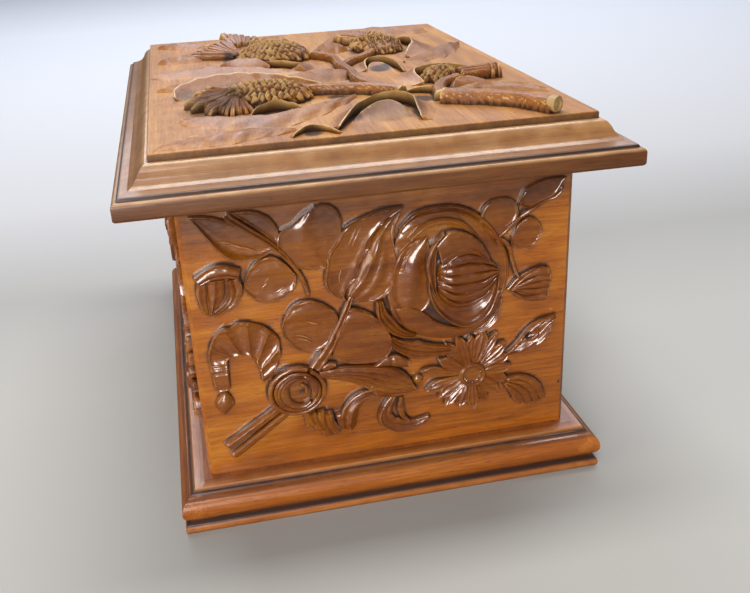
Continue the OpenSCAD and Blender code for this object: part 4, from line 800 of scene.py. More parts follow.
def back_thistles(c, scale):
    """The two thistles at the back, with the leaves round them."""
    scaly(c, scale, -23, 50, 160, 42, 42, 8.8)
    tuft(c, -42, 62, 87, 24, 51, 6, 2.6, (5.6, 9.6), wide=4.2, fray=0.1)
    tuft(c, -43, 60, 132, 64, 34, 8, 2.2, (8.4, 2.4), wide=4.4, fray=0.14)
    crown(c, -27, 52, 96, 62, 30, 7, 7.4)
    scaly(c, scale, 41, 54, 100, 38, 30, 7.8)
    tuft(c, 37, 72, 108, 84, 22, 9, 4.2, (5.6, 5.6), wide=3.4, fray=0.25)
    leaf(c, [(-56, 36), (-46, 40), (-34, 36), (-28, 24)], [(-58, 26), (-50, 14), (-40, 12), (-30, 18)], 5.4,
         crest=0.5, lobes=1)
    curl(c, [(-32, 34), (-22, 40), (-10, 34), (-6, 20)], [(-34, 30), (-26, 22), (-18, 16), (-8, 16)], 4.2)
    leaf(c, [(-2, 62), (6, 74), (16, 76), (24, 64)], [(-4, 40), (6, 46), (14, 50), (22, 56)], 4.8, crest=0.7)
    curl(c, [(56, 14), (70, 24), (78, 42), (76, 62), (64, 82)],
         [(50, 20), (55, 30), (60, 44), (61, 60), (58, 76)], 6.2, lobes=3)
    leaf(c, [(6, 78), (14, 98), (30, 116), (52, 128), (72, 128), (88, 114)],
         [(8, 68), (20, 80), (34, 90), (50, 98), (68, 100), (86, 104)], 4.2, flutes=5, lobes=5)
    leaf(c, [(-92, 124), (-78, 130), (-66, 128), (-58, 120)],
         [(-92, 119), (-82, 112), (-72, 108), (-62, 110)], 2.6)
    leaf(c, [(-2, 84), (0, 98), (-6, 114), (-18, 128)], [(-6, 82), (-14, 94), (-20, 108), (-24, 126)], 3.0)
    leaf(c, [(-92, 66), (-84, 76), (-74, 78), (-64, 70)], [(-92, 61), (-84, 58), (-74, 58), (-66, 62)], 3.0)
    leaf(c, [(46, 10), (54, 24), (66, 36), (80, 46), (92, 52)],
         [(46, 2), (60, 4), (74, 14), (85, 30), (92, 48)], 3.4, flutes=4, lobes=4)
    curl(c, [(14, -12), (14, 6), (22, 18), (34, 16), (43, 0), (43, -22)],
         [(21, -12), (22, 0), (27, 6), (33, 3), (37, -8), (38, -24)], 4.8)
    inside(c, [(21, -13), (26, -15), (32, -19), (37, -26)], [(22, -6), (26, 2), (31, 0), (36, -14)], 2.6)
    leaf(c, [(-10, 18), (-18, 14), (-22, 4), (-14, -6)], [(-4, 10), (-9, 6), (-10, 0), (-10, -6)], 3.4,
         lobes=1)


def front_thistles(c, scale):
    """The large thistle at the front on the left, with the long leaves round it."""
    scaly(c, scale, -41, -64, 185, 46, 31, 8.9)
    tuft(c, -52, -66, 202, 140, 28, 21, 5.4, (5.4, 1.4), wide=2.3, fray=0.3)
    curl(c, [(-78, -46), (-70, -45), (-60, -45), (-50, -46), (-38, -44), (-24, -46), (-8, -50)],
         [(-84, -44), (-83, -33), (-74, -23), (-60, -18), (-44, -20), (-26, -30), (-8, -46)], 6.4, bend=2.6,
         flutes=9, lobes=5)
    # Painted shade inside the curled leaf and beside the tuft.
    for x, y in ((-74, -40), (-64, -36), (-52, -34), (-40, -38), (-28, -42)):
        c.hollow(x, y, 11, 0.6, 9)
    c.hollow(-66, -74, 20, 0.6, 9)
    leaf(c, [(-80, -90), (-68, -88), (-56, -92), (-44, -98), (-30, -94), (-16, -86), (-6, -78), (2, -70)],
         [(-84, -93), (-76, -105), (-62, -116), (-44, -120), (-29, -112), (-17, -100), (-6, -86), (3, -73)],
         3.4, crest=0.4, flutes=6, lobes=5, n=60)
    curl(c, [(-55, -93), (-48, -81), (-38, -77), (-28, -81), (-21, -93)],
         [(-51, -98), (-46, -91), (-38, -87), (-31, -91), (-26, -99)], 5.2, flutes=3, n=30)
    leaf(c, [(-94, -136), (-84, -126), (-70, -123), (-56, -122), (-44, -123), (-34, -125)],
         [(-94, -139), (-82, -138), (-70, -139), (-58, -136), (-46, -131), (-35, -128)], 2.8, crest=0.45,
         flutes=6)
    curl(c, [(-41, -134), (-35, -125), (-28, -122), (-19, -125), (-14, -134)],
         [(-37, -138), (-33, -132), (-28, -130), (-22, -132), (-18, -138)], 2.8)
    leaf(c, [(-96, 19), (-93, 31), (-80, 37), (-62, 35), (-44, 25), (-26, 12), (-12, -3)],
         [(-96, 16), (-87, 11), (-72, 8), (-56, 2), (-40, -3), (-26, -7), (-12, -8)], 3.0, crest=0.5,
         flutes=7, lobes=5, n=56)
    leaf(c, [(-30, -12), (-18, -6), (-4, -6), (6, -10), (12, -18)],
         [(-28, -24), (-18, -31), (-6, -34), (4, -31), (10, -22)], 4.4)
    leaf(c, [(-52, -8), (-66, -12), (-80, -12), (-93, -18)],
         [(-50, -14), (-64, -20), (-80, -22), (-93, -21)], 2.6)


def curled_leaf(c):
    """The curled leaf at the middle of the near side, hollow towards the front."""
    curl(c, [(-26, -128), (-18, -108), (-4, -90), (12, -81), (28, -83), (34, -96), (33, -112), (27, -128)],
         [(-16, -132), (-9, -118), (0, -105), (10, -96), (18, -93), (22, -99), (22, -112), (20, -128)], 6.4,
         lobes=4, n=60)
    inside(c, [(-12, -129), (-3, -127), (8, -125), (19, -122)],
           [(-9, -121), (2, -108), (13, -99), (20, -110)], 4.4, n=36)
    curl(c, [(26, -66), (40, -68), (48, -80), (44, -96)], [(27, -74), (36, -76), (40, -84), (38, -94)], 3.6)
    # Painted shade inside the curled leaf and round the sawn end of the branch.
    c.hollow(-7, -117, 5, 0.7)
    c.hollow(*BRANCH_END[:2], 7, 0.4, 12)
    for x, y, wide in ((4, -108, 13), (13, -104, 13), (18, -112, 12), (8, -116, 12)):
        c.hollow(x, y, wide, 0.4, 6)


def right_thistle(c, scale):
    """The small thistle on the right in its curled leaf."""
    scaly(c, scale, 53, -50, 185, 20, 19, 6.4, pitch=2.6)
    cut_thistle(c)
    curl(c, [(30, -58), (26, -42), (32, -24), (50, -15), (70, -18), (88, -34)],
         [(41, -58), (39, -46), (43, -37), (53, -33), (65, -34), (78, -41)], 5.4, lobes=3, n=44)
    leaf(c, [(46, -82), (50, -68), (60, -64), (70, -70)], [(50, -84), (56, -78), (63, -76), (70, -75)], 4.8,
         crest=0.5, lobes=1)
    leaf(c, [(46, -76), (60, -72), (78, -76), (93, -92)], [(46, -86), (60, -84), (76, -88), (92, -98)], 3.0)


def lid_drawing(c):
    """Everything that is carved on the lid, and the painted shade and old polish in each hollow between."""
    scale = c.pattern([(-1.5, 0), (0, 0), (1.9, 0)], [1.4, 2.1, 0.2], lambda u, v, d: 0.45 + 0.5 * dome(v),
                      lip=0.3, lip_w=0.5, ends=0, n=3, m=2)
    branch(c)
    branch_end(c)
    back_thistles(c, scale)
    front_thistles(c, scale)
    curled_leaf(c)
    right_thistle(c, scale)
    # Painted shade in the deep holes between the forms.
    for x, y, wide in ((-47, 57, 9), (31, -87, 9), (-6, -68, 6), (54, -47, 10), (29, -8, 8), (-38, -92, 9),
                       (-28, -133, 5)):
        c.hollow(x, y, wide, 1)
    remove(scale[0])


def remove(piece):
    """Takes a piece that is no longer needed out of the scene."""
    bpy.data.objects.remove(piece, do_unlink=True)


# Boards

def ground(carving, wide, high, steps_mm, cell=1.5, y0=0.0):
    """The board itself: a grid for its face, built up from the back through (width, height, z) steps."""
    carving.low, carving.high = (-wide / 2, y0), (wide / 2, y0 + high)
    bpy.ops.mesh.primitive_grid_add(x_subdivisions=int(wide / cell), y_subdivisions=int(high / cell), size=1)
    board = bpy.context.object
    mesh = board.data
    unit = points_of(mesh)

    def layer(width, height, z):
        return unit * (width, height, 0) + (0, y0 + high / 2, z)

    def in_rows(points):
        return np.lexsort((np.round(points[:, 0], 3), np.round(points[:, 1], 3)))

    mesh.vertices.foreach_set("co", layer(*steps_mm[0]).ravel())
    for i, step in enumerate(steps_mm[1:]):
        bpy.ops.object.mode_set(mode="EDIT")
        if i == 0:
            bpy.ops.mesh.select_all(action="SELECT")
        bpy.ops.mesh.extrude_region_move(TRANSFORM_OT_translate={"value": (0, 0, 1)})
        bpy.ops.object.mode_set(mode="OBJECT")
        chosen = np.zeros(len(mesh.vertices), bool)
        mesh.vertices.foreach_get("select", chosen)
        at = points_of(mesh)
        moved = np.zeros_like(at[chosen])
        moved[in_rows(at[chosen])] = layer(*step)[in_rows(layer(*steps_mm[i]))]
        at[chosen] = moved
        mesh.vertices.foreach_set("co", at.ravel())
    x, y = at[chosen, 0], at[chosen, 1]
    edge = np.minimum(np.minimum(wide / 2 - np.abs(x), y - y0), y0 + high - y)
    sway = 0.07 * (np.sin(x * 0.47 + 1.3 * np.sin(y * 0.21)) + np.sin(y * 0.39 + 1.7 * np.sin(x * 0.17)) - 2)
    at[chosen, 2] += sway * np.clip(edge / 5, 0, 1)
    mesh.vertices.foreach_set("co", at.ravel())
    close_under(mesh, len(unit))
    carving.forms.insert(0, board)


def blurred(image, sigma):
    """A picture softened by a bell curve of sigma cells."""
    reach = int(3 * sigma)
    bell = np.exp(-0.5 * (np.arange(-reach, reach + 1) / sigma) ** 2)
    bell /= bell.sum()
    soft = np.apply_along_axis(lambda row: np.convolve(np.pad(row, reach, mode="edge"), bell, "valid"), 0,
                               image)
    return np.apply_along_axis(lambda row: np.convolve(np.pad(row, reach, mode="edge"), bell, "valid"), 1,
                               soft)


def weather_and_paint_light(piece, carving, under, crest_rubbing_and_highlight):
    """Marks each point with how deep it lies among its neighbours, for old polish and painted shade, how
    proud it stands, for rubbing and painted highlight, and how high it is (raised). under is the old polish
    and painted shade given below the board's face, and the last argument is the rubbing and painted
    highlight given to the crests of its highest forms."""
    cell = 0.5        # the squares in which heights are compared, in millimetres
    low, high = carving.low, carving.high
    columns, rows = int((high[0] - low[0]) / cell) + 1, int((high[1] - low[1]) / cell) + 1

    def cells(points):
        """The row and column of the board in which each point lies."""
        return (np.clip(((points[:, 1] - low[1]) / cell).astype(int), 0, rows - 1),
                np.clip(((points[:, 0] - low[0]) / cell).astype(int), 0, columns - 1))

    heights = np.zeros((rows, columns))
    for top in carving.tops:
        span = max(np.linalg.norm(np.diff(top, axis=k), axis=2).max() for k in (0, 1))
        shares = np.arange(0, 1, min(0.5, 0.8 * cell / span))
        for s in shares:
            for t in shares:
                a = top[:-1, :-1] * (1 - s) + top[1:, :-1] * s
                b = top[:-1, 1:] * (1 - s) + top[1:, 1:] * s
                q = (a * (1 - t) + b * t).reshape(-1, 3)
                np.maximum.at(heights, cells(q), q[:, 2])
    mesh = piece.data
    at = points_of(mesh)
    z = at[:, 2]
    broad, close = blurred(heights, 5)[cells(at)], blurred(heights, 1.0)[cells(at)]
    # Painted shade, with old polish, below the broad surroundings and in the narrow gaps at the foot of each
    # form.
    gap_polish_and_shade = 0.36 * (close - z - 0.15)
    # Painted shade between the scales of each thistle's cup.
    for x, y, reach in carving.cups:
        gap_polish_and_shade = np.where(np.hypot(at[:, 0] - x, at[:, 1] - y) < reach, 1.3 * (close - z) + 0.04, gap_polish_and_shade)
    polish_and_shade = np.clip(0.05 * (broad - z) + gap_polish_and_shade, 0, 1)
    # Lighter where a point stands proud of its neighbours and on the crests of the highest forms: rubbing
    # with painted highlight.
    rubbing_and_highlight = 0.9 * np.clip((z - close - 0.08) / 0.45, 0, 1) + crest_rubbing_and_highlight * np.clip((z - broad - 0.8) / 2.5, 0, 1)
    # Painted shade, with old polish, round each listed dark spot.
    for x, y, wide, deep, top in carving.polish_and_shade_spots:
        reached = np.clip(1 - np.hypot(at[:, 0] - x, at[:, 1] - y) / wide, 0, 1) * (z < top)
        polish_and_shade = np.maximum(polish_and_shade, deep * np.clip(reached * 2, 0, 1))
    # Below the board's face and on the panel's eased arris: old polish and painted shade.
    polish_and_shade[z < -1.6] = under
    chamfer = (z > -1) & (z < -0.4)
    polish_and_shade[chamfer] = np.maximum(polish_and_shade[chamfer], 0.8 * under)
    raised = np.clip(z / 8, 0, 1)
    for name, value in (("polish_and_shade", polish_and_shade), ("rubbing_and_highlight", np.clip(rubbing_and_highlight, 0, 1)), ("raised", raised)):
        mesh.attributes.new(name, "FLOAT", "POINT").data.foreach_set("value", value)


def finish_carving(carving, place, body, node, materials, under=0.1, crest_rubbing_and_highlight=0.08):
    """Joins the forms with their board, marks them with old polish and painted shade in their cuts and with
    rubbing and painted highlight on their crests, and puts the piece in its place. The last of its materials
    is that of the face towards the inside of the box."""
    select_only(*carving.forms)
    bpy.ops.object.join()
    piece = bpy.context.object
    piece.name = carving.name
    weather_and_paint_light(piece, carving, under, crest_rubbing_and_highlight)
    centres = np.zeros(len(piece.data.polygons) * 3)
    piece.data.polygons.foreach_get("center", centres)
    piece.data.transform(place)
    finish(piece, body, node, materials)
    inner = centres[2::3] < 0.1 - BOARD
    piece.data.polygons.foreach_set("material_index", (inner * (len(materials) - 1)).astype(int))


def finish(piece, body, node, materials, angle=38):
    """Smooths a piece, gives it its materials, ties it to its body and hides its CAD node."""
    select_only(piece)
    bpy.ops.object.shade_smooth_by_angle(angle=math.radians(angle))
    for material in materials:
        piece.data.materials.append(material)
    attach(piece, body)
    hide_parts(node)


def moulded_block(name, width, length, base, edge):
    """A block with one moulding worked round its four sides. edge is its section, going up, as (set back,
    height, old polish and painted shade, rubbing and painted highlight)."""
    bpy.ops.mesh.primitive_plane_add(size=1)
    piece = bpy.context.object
    piece.name = name
    mesh = piece.data
    for i, (back, z, *_) in enumerate(edge):
        if i:
            bpy.ops.object.mode_set(mode="EDIT")
            bpy.ops.mesh.extrude_region_move(TRANSFORM_OT_translate={"value": (0, 0, 0.001)})
            bpy.ops.object.mode_set(mode="OBJECT")
        for point in mesh.vertices:
            if point.select:
                x, y = point.co.x, point.co.y
                point.co = (math.copysign(width / 2 - back, x), math.copysign(length / 2 - back, y),
                            base + z)
    return piece


def mark_moulding(piece, width, length, base, edge):
    """Old polish and painted shade in the quirks, and rubbing and painted highlight on the arrises, taken
    from the nearest place on the section.
    """
    mesh = piece.data
    at = points_of(mesh)
    back = np.minimum(width / 2 - np.abs(at[:, 0]), length / 2 - np.abs(at[:, 1]))
    section = np.array(edge)
    near = np.hypot(back[:, None] - section[None, :, 0], at[:, 2:] - base - section[None, :, 1]).argmin(1)
    for k, name in ((2, "polish_and_shade"), (3, "rubbing_and_highlight")):
        mesh.attributes.new(name, "FLOAT", "POINT").data.foreach_set("value", section[near, k])


def bisected(piece, point, outward):
    """Cuts a block with a plane and keeps the side that outward points away from."""
    select_only(piece)
    bpy.ops.object.mode_set(mode="EDIT")
    bpy.ops.mesh.select_all(action="SELECT")
    bpy.ops.mesh.bisect(plane_co=point, plane_no=outward, use_fill=True, clear_outer=True)
    bpy.ops.object.mode_set(mode="OBJECT")


def cut_box(piece, low, high):
    """Cuts a box-shaped recess."""
    bpy.ops.mesh.primitive_cube_add(size=1)
    cutter = bpy.context.object
    for point in cutter.data.vertices:
        point.co = [low[k] if point.co[k] < 0 else high[k] for k in range(3)]
    select_only(piece)
    recess = piece.modifiers.new("recess", "BOOLEAN")
    recess.object = cutter
    recess.operation = "DIFFERENCE"
    bpy.ops.object.modifier_apply(modifier=recess.name)
    remove(cutter)


def round_section(points, turn=3):
    """A section with its arrises eased: (set back, height, old polish and painted shade, rubbing and painted
    highlight), with more points where it bends.
    """
    p = np.array(points, float)
    eased = []
    for i, q in enumerate(p):
        if i in (0, len(p) - 1):
            eased.append(q)
            continue
        before, after = p[i - 1] - q, p[i + 1] - q
        ease = min(0.5, 0.4 * np.hypot(*before[:2]), 0.4 * np.hypot(*after[:2]))
        a, b = q + before * ease / np.hypot(*before[:2]), q + after * ease / np.hypot(*after[:2])
        for t in np.linspace(0, 1, turn):
            eased.append(a * (1 - t) ** 2 + 2 * q * t * (1 - t) + b * t ** 2)
    eased = np.array(eased)
    eased[:, 2:] = np.clip(eased[:, 2:], 0, 1)
    return [tuple(q) for q in eased]


# Sections of the mouldings, going up: how far each arris is set back, its height, its old polish and painted
# shade, and its rubbing and painted highlight
LID_EDGE = [(0.9, 0, 0.2, 0), (0, 0.9, 0.28, 0.1), (0, LID_T - 12.6, 0.28, 0.1), (0.5, LID_T - 11.6, 0, 0.9),
            (1.4, LID_T - 11.1, 0, 0.5), (2.5, LID_T - 11, 0.8, 0), (2.6, LID_T - 9.9, 0.8, 0),
            (4, LID_T - 9.5, 0, 0.4), (6.7, LID_T - 8.7, 0, 0.3), (9, LID_T - 7.3, 0, 0.5),
            (10.7, LID_T - 5.2, 0, 0.4), (11.8, LID_T - 2.9, 0, 0.5), (13.1, LID_T - 1.2, 0, 0.6),
            (14.6, LID_T - 0.2, 0, 1), (15.3, LID_T, 0, 1), (16.2, LID_T, 1, 0)]
BEAD = PLINTH_H * 0.295
BEAD_Z = PLINTH_H * 0.55
QUIRK = 50            # degrees round the bead past which it is darkened with old polish and painted shade
PLINTH_EDGE = ([(1.6, 0, 0.3, 0), (0.7, 1.1, 0, 0.5), (0.6, 3.4, 0, 0.4), (1.6, 4.6, 0.9, 0),
                (2.4, 5.0, 1, 0)]
               + [(BEAD - BEAD * math.cos(math.radians(a)), BEAD_Z + BEAD * math.sin(math.radians(a)),
                   0.4 * (abs(a) > QUIRK), 0) for a in range(-68, 80, 8)]
               + [(BEAD - 0.9, PLINTH_H - 2.6, 0.9, 0), (BEAD + 0.3, PLINTH_H - 2.3, 0.6, 0.3),
                  (BEAD + 0.4, PLINTH_H - 0.9, 0, 0.8), (PLINTH, PLINTH_H, 0.3, 0)])


def plinth(name, keep, material):
    """One length of the plinth: the moulding all round, cut off at its joints, each a (point, outward)."""
    edge = round_section(PLINTH_EDGE, 2)
    piece = moulded_block("plinth_" + name, PLINTH_W, PLINTH_L, 0, edge)
    for point, outward in keep:
        bisected(piece, point, outward)
    mark_moulding(piece, PLINTH_W, PLINTH_L, 0, edge)
    piece.data.transform(Matrix.Scale(MM, 4))
    finish(piece, "case", "plinth_" + name, [material], angle=30)


def plinth_mouldings():
    """The plinth's four lengths: the long ones stand between the short ones."""
    x, y = PLINTH_W / 2 - PLINTH, PLINTH_L / 2 - PLINTH
    for name, side in (("front", -1), ("back", 1)):
        plinth(name, [((side * x, 0, 0), (-side, 0, 0))], PLINTH_ALONG)
    for name, side in (("near", -1), ("far", 1)):
        plinth(name, [((0, side * y, 0), (0, -side, 0)), ((x, 0, 0), (1, 0, 0)), ((-x, 0, 0), (-1, 0, 0))],
               PLINTH_ACROSS)


def lid_board():
    """The lid's board, moulded all round, with the hinges let into its underside."""
    edge = round_section(LID_EDGE)
    base = lid_low[2]
    piece = moulded_block("lid_moulded_board", LID_W, LID_L, base, edge)
    for name in ("hinge_near_lid_leaf", "hinge_far_lid_leaf"):
        low, high = size_mm(name)
        knuckle = (high[2] - low[2]) / 2
        cut_box(piece, (low[0], low[1], base - 1), (high[0] - knuckle, high[1], base + HINGE_LEAF))
        cut_box(piece, (high[0] - 2 * knuckle - KNUCKLE_ROOM, low[1] - KNUCKLE_ROOM, base - 1),
                [h + KNUCKLE_ROOM for h in high])
    mark_moulding(piece, LID_W, LID_L, base, edge)
    piece.data.transform(Matrix.Scale(MM, 4))
    finish(piece, "lid", "lid_board", [MOULDED], angle=30)


# Materials

def rgb(code):
    """An sRGB hex colour, as linear values."""
    values = [int(code[i:i + 2], 16) / 255 for i in (0, 2, 4)]
    return tuple([c / 12.92 if c <= 0.04045 else ((c + 0.055) / 1.055) ** 2.4 for c in values] + [1.0])


def add(tree, kind, feeds=None, output=0, **settings):
    """Adds a node with its settings and feeds its inputs with values or with other nodes' outputs. Gives
    back the output that is used."""
    made = tree.nodes.new("ShaderNode" + kind)
    for key, value in settings.items():
        setattr(made, key, value)
    for key, value in (feeds or {}).items():
        if isinstance(value, bpy.types.NodeSocket):
            tree.links.new(value, made.inputs[key])
        else:
            made.inputs[key].default_value = value
    return made.outputs[output] if len(made.outputs) else None


def new_material(name):
    """A material with nothing in it, and its node tree."""
    material = bpy.data.materials.new(name)
    material.use_nodes = True
    material.node_tree.nodes.clear()
    return material, material.node_tree


COLOURS = {"data_type": "RGBA", "output": 2}     # a Mix node that mixes colours

# Sizes of the marks in walnut, in millimetres across and along the grain
FIGURE = (16, 110)
FIBRE = (1.1, 26)
PORE = (0.5, 6)
CLOUD = 9             # patches of wear and old polish
TARNISH = 4           # blotches on metal


def wood(name, dark, mid, light, along=0, rough=0.3, coat=0.5, gloss=0.16, varnish=1.5, polish_and_shade_colour="1C0D06",
         rubbing_and_highlight_colour=None, leafy=None, high=None):
    """Walnut, streaked with dark, mid and light along one axis, with open pores. leafy and high are the
    tints of the low and the high carved forms. Next come the colour of arrises lightened by rubbing and by
    painted highlight, and that of old polish and painted shade in the cuts; without the first of them the
    board has neither. coat, gloss and varnish are the weight, the roughness and the IOR of its polish."""
    material, tree = new_material(name)
    where = add(tree, "TexCoord", output="Object")

    def marks(across, length, **more):
        squeeze = [1.0, 1.0, 1.0]
        squeeze[along] = across / length
        spot = add(tree, "Mapping", {"Vector": where, "Scale": squeeze})
        return add(tree, "TexNoise", {"Vector": spot, "Scale": 1 / (across * MM), **more})

    figure = marks(*FIGURE, Detail=3.0, Distortion=1.1)
    fibre = marks(*FIBRE, Detail=5.0, Roughness=0.7)
    pores = add(tree, "MapRange", {0: marks(*PORE, Detail=2.0), 1: 0.6, 2: 0.72})
    cloud = add(tree, "TexNoise", {"Vector": where, "Scale": 1 / (CLOUD * MM), "Detail": 4.0})
    figure = add(tree, "MapRange", {0: figure, 1: 0.3, 2: 0.7})
    grain = add(tree, "MapRange", {0: fibre, 1: 0.25, 2: 0.75})
    streak = add(tree, "Math", {0: figure, 1: grain}, operation="ADD")
    tones = add(tree, "ValToRGB", {0: add(tree, "MapRange", {0: streak, 1: 0.2, 2: 1.8})})
    ramp = tones.node.color_ramp
    ramp.elements[0].color = rgb(dark)
    ramp.elements[1].color = rgb(light)
    ramp.elements.new(0.5).color = rgb(mid)
    depth = add(tree, "MapRange", {0: pores, 4: 0.5})
    colour = add(tree, "Mix", {0: depth, 6: tones, 7: rgb(dark)}, blend_type="MULTIPLY", **COLOURS)
    roughness = add(tree, "MapRange", {0: fibre, 1: 0.2, 2: 0.8, 3: rough + 0.07, 4: rough - 0.04})
    for tint, start, full in ((leafy, 0.03, 0.2), (high, 0.45, 0.85)):
        if tint:
            raised = add(tree, "Attribute", output="Fac", attribute_name="raised")
            share = add(tree, "MapRange", {0: raised, 1: start, 2: full})
            colour = add(tree, "Mix", {0: share, 6: colour, 7: rgb(tint)}, blend_type="MULTIPLY", **COLOURS)
    # Arrises and crests lightened by rubbing and painted highlight, cuts darkened by old polish and painted
    # shade.
    if rubbing_and_highlight_colour:
        rubbing_and_highlight = add(tree, "Attribute", output="Fac", attribute_name="rubbing_and_highlight")
        patchy = add(tree, "MapRange", {0: cloud, 1: 0.35, 2: 0.7, 3: 0.55, 4: 1.0})
        rubbing_and_highlight = add(tree, "Math", {0: rubbing_and_highlight, 1: patchy}, operation="MULTIPLY")
        rubbing_and_highlight = add(tree, "MapRange", {0: rubbing_and_highlight, 1: 0.1, 2: 1.0, 4: 0.6})
        colour = add(tree, "Mix", {0: rubbing_and_highlight, 6: colour, 7: rgb(rubbing_and_highlight_colour)}, **COLOURS)
        polish_and_shade = add(tree, "Attribute", output="Fac", attribute_name="polish_and_shade")
        patchy = add(tree, "MapRange", {0: cloud, 1: 0.3, 2: 0.7, 3: 0.88, 4: 1.1})
        polish_and_shade = add(tree, "Math", {0: polish_and_shade, 1: patchy}, operation="MULTIPLY")
        polish_and_shade = add(tree, "MapRange", {0: polish_and_shade, 1: 0.08, 2: 0.8})
        cover = add(tree, "MapRange", {0: polish_and_shade, 4: 0.93})
        colour = add(tree, "Mix", {0: cover, 6: colour, 7: rgb(polish_and_shade_colour)}, **COLOURS)
        dull = add(tree, "MapRange", {0: polish_and_shade, 4: 0.3})
        roughness = add(tree, "Math", {0: roughness, 1: dull}, operation="ADD")
    relief = add(tree, "Math", {0: fibre, 1: add(tree, "MapRange", {0: pores, 4: -0.6})}, operation="ADD")
    relief = add(tree, "Math", {0: relief, 1: add(tree, "MapRange", {0: cloud, 4: 2.2})}, operation="ADD")
    bump = add(tree, "Bump", {"Strength": 0.5, "Distance": 0.25 * MM, "Height": relief})
    shader = add(tree, "BsdfPrincipled", {
        "Base Color": colour, "Roughness": roughness, "Normal": bump, "IOR": 1.5,
        "Coat Weight": coat, "Coat Roughness": gloss, "Coat IOR": varnish})
    add(tree, "OutputMaterial", {"Surface": shader})
    return material


def metal(name, colour, tarnish, rough):
    """Brass or steel dulled by handling: blotches of tarnish over the bare metal."""
    material, tree = new_material(name)
    where = add(tree, "TexCoord", output="Object")
    cloud = add(tree, "TexNoise", {"Vector": where, "Scale": 1 / (TARNISH * MM), "Detail": 5.0})
    share = add(tree, "MapRange", {0: cloud, 1: 0.4, 2: 0.65})
    colours = add(tree, "Mix", {0: share, 6: rgb(colour), 7: rgb(tarnish)}, **COLOURS)
    dulled = add(tree, "MapRange", {0: cloud, 1: 0.3, 2: 0.7, 3: rough - 0.08, 4: rough + 0.12})
    shader = add(tree, "BsdfPrincipled", {"Base Color": colours, "Metallic": 1.0, "Roughness": dulled})
    add(tree, "OutputMaterial", {"Surface": shader})
    return material


# Carved walnut, stained and waxed to a gloss: a clear orange brown ground, browner carving, arrises
# lightened by rubbing and painted highlight, and black old polish and painted shade in the cuts, all under a
# thick shine that catches the window on every curve
CARVED_WALNUT = {"dark": "743A06", "mid": "A65C0C", "light": "C48022", "coat": 0.95, "gloss": 0.17,
                 "varnish": 1.7, "polish_and_shade_colour": "28130A", "rubbing_and_highlight_colour": "CC9460", "leafy": "C6BE84", "high": "D4C89A"}
CARVED = wood("carved_walnut", along=0, **CARVED_WALNUT)
CARVED_LONG = wood("carved_walnut_long", along=1, **CARVED_WALNUT)
# Carved walnut of the lid, faded by light and thinly waxed: yellower and duller, rubbed pale on its edges
# and painted gold where its crests catch the light, with painted shade in its hollow places
LID_WOOD = wood("lid_walnut", "7C4812", "A26820", "BE8838", along=1, rough=0.5, coat=0.22, gloss=0.26,
                polish_and_shade_colour="2C1608", rubbing_and_highlight_colour="FFE096", leafy="D8C8A4", high="ECE0B8")
# Planed and waxed walnut of the lid's moulding: darker and browner, with pale arrises from rubbing and
# painted highlight, and old polish and painted shade in its quirks
MOULDED = wood("moulded_walnut", "522C0E", "744216", "8E5C24", rough=0.36, coat=0.45, rubbing_and_highlight_colour="E6BC84")
# Planed and waxed walnut of the plinth: redder and smoother, dark in its quirks with old polish and painted
# shade, pale on its arrises with rubbing and painted highlight
PLINTH_WALNUT = {"dark": "763C12", "mid": "A0581A", "light": "C07C2E", "rubbing_and_highlight_colour": "D09A60"}
PLINTH_ACROSS = wood("plinth_walnut_across", along=0, **PLINTH_WALNUT)
PLINTH_ALONG = wood("plinth_walnut_along", along=1, **PLINTH_WALNUT)
# Planed and waxed walnut at the back and the bottom: plain and even, without wear
BACK = wood("back_walnut", "6A3818", "925222", "AE6E30", along=1)
# Bare planed walnut inside the box: dull, greyer and dry
RAW = wood("bare_walnut", "5E3A20", "80552F", "9C6E42", along=1, rough=0.62, coat=0.0)
# Rolled brass, dulled by handling: a soft yellow shine with brown blotches
BRASS = metal("aged_brass", "B08D4A", "6B5128", 0.38)
# Turned steel, dulled by age: grey with a weak shine
STEEL = metal("dull_steel", "8C8A86", "4A443E", 0.45)


# The carved boards in their places

def upright(x, y, z, turn):
    """Turns a drawing up from flat to a wall: its x along the wall, its y up and its z outwards."""
    return (Matrix.Translation(Vector((x, y, z)) * MM) @ Matrix.Rotation(math.radians(turn), 4, "Z")
            @ Matrix.Rotation(math.radians(90), 4, "X") @ Matrix.Scale(MM, 4))


INNER_W = BODY_W - 2 * BOARD
END_STEPS = [(INNER_W, BODY_H, -BOARD), (INNER_W, BODY_H, REBATE - BOARD), (BODY_W, BODY_H, REBATE - BOARD),
             (BODY_W, BODY_H, -CORNER), (BODY_W - 2 * CORNER, BODY_H, 0)]


def end_near():
    """The carved end in front, with a worm hole at its right edge and a painted shadow band under the lid.
    """
    board = Carving("carved_end_near")
    near_drawing(board)
    board.hollow(BODY_W / 2 - 3.2, 0.165 * BODY_H, 0.8, 1.6)
    # Painted shadow of the lid's overhang along the top of the end.
    for x in range(-88, 89, 8):
        board.hollow(x, BODY_H, 26 + 4 * math.sin(x), 0.48)
    ground(board, BODY_W, BODY_H, END_STEPS, cell=0.9)
    finish_carving(board, upright(0, -BODY_L / 2, SEAT, 0), "case", "end_board_near",
                   [CARVED, RAW])


def end_far():
    """The carved end at the far side."""
    board = Carving("carved_end_far")
    far_drawing(board)
    ground(board, BODY_W, BODY_H, END_STEPS)
    finish_carving(board, upright(0, BODY_L / 2, SEAT, 180), "case", "end_board_far",
                   [CARVED, RAW])


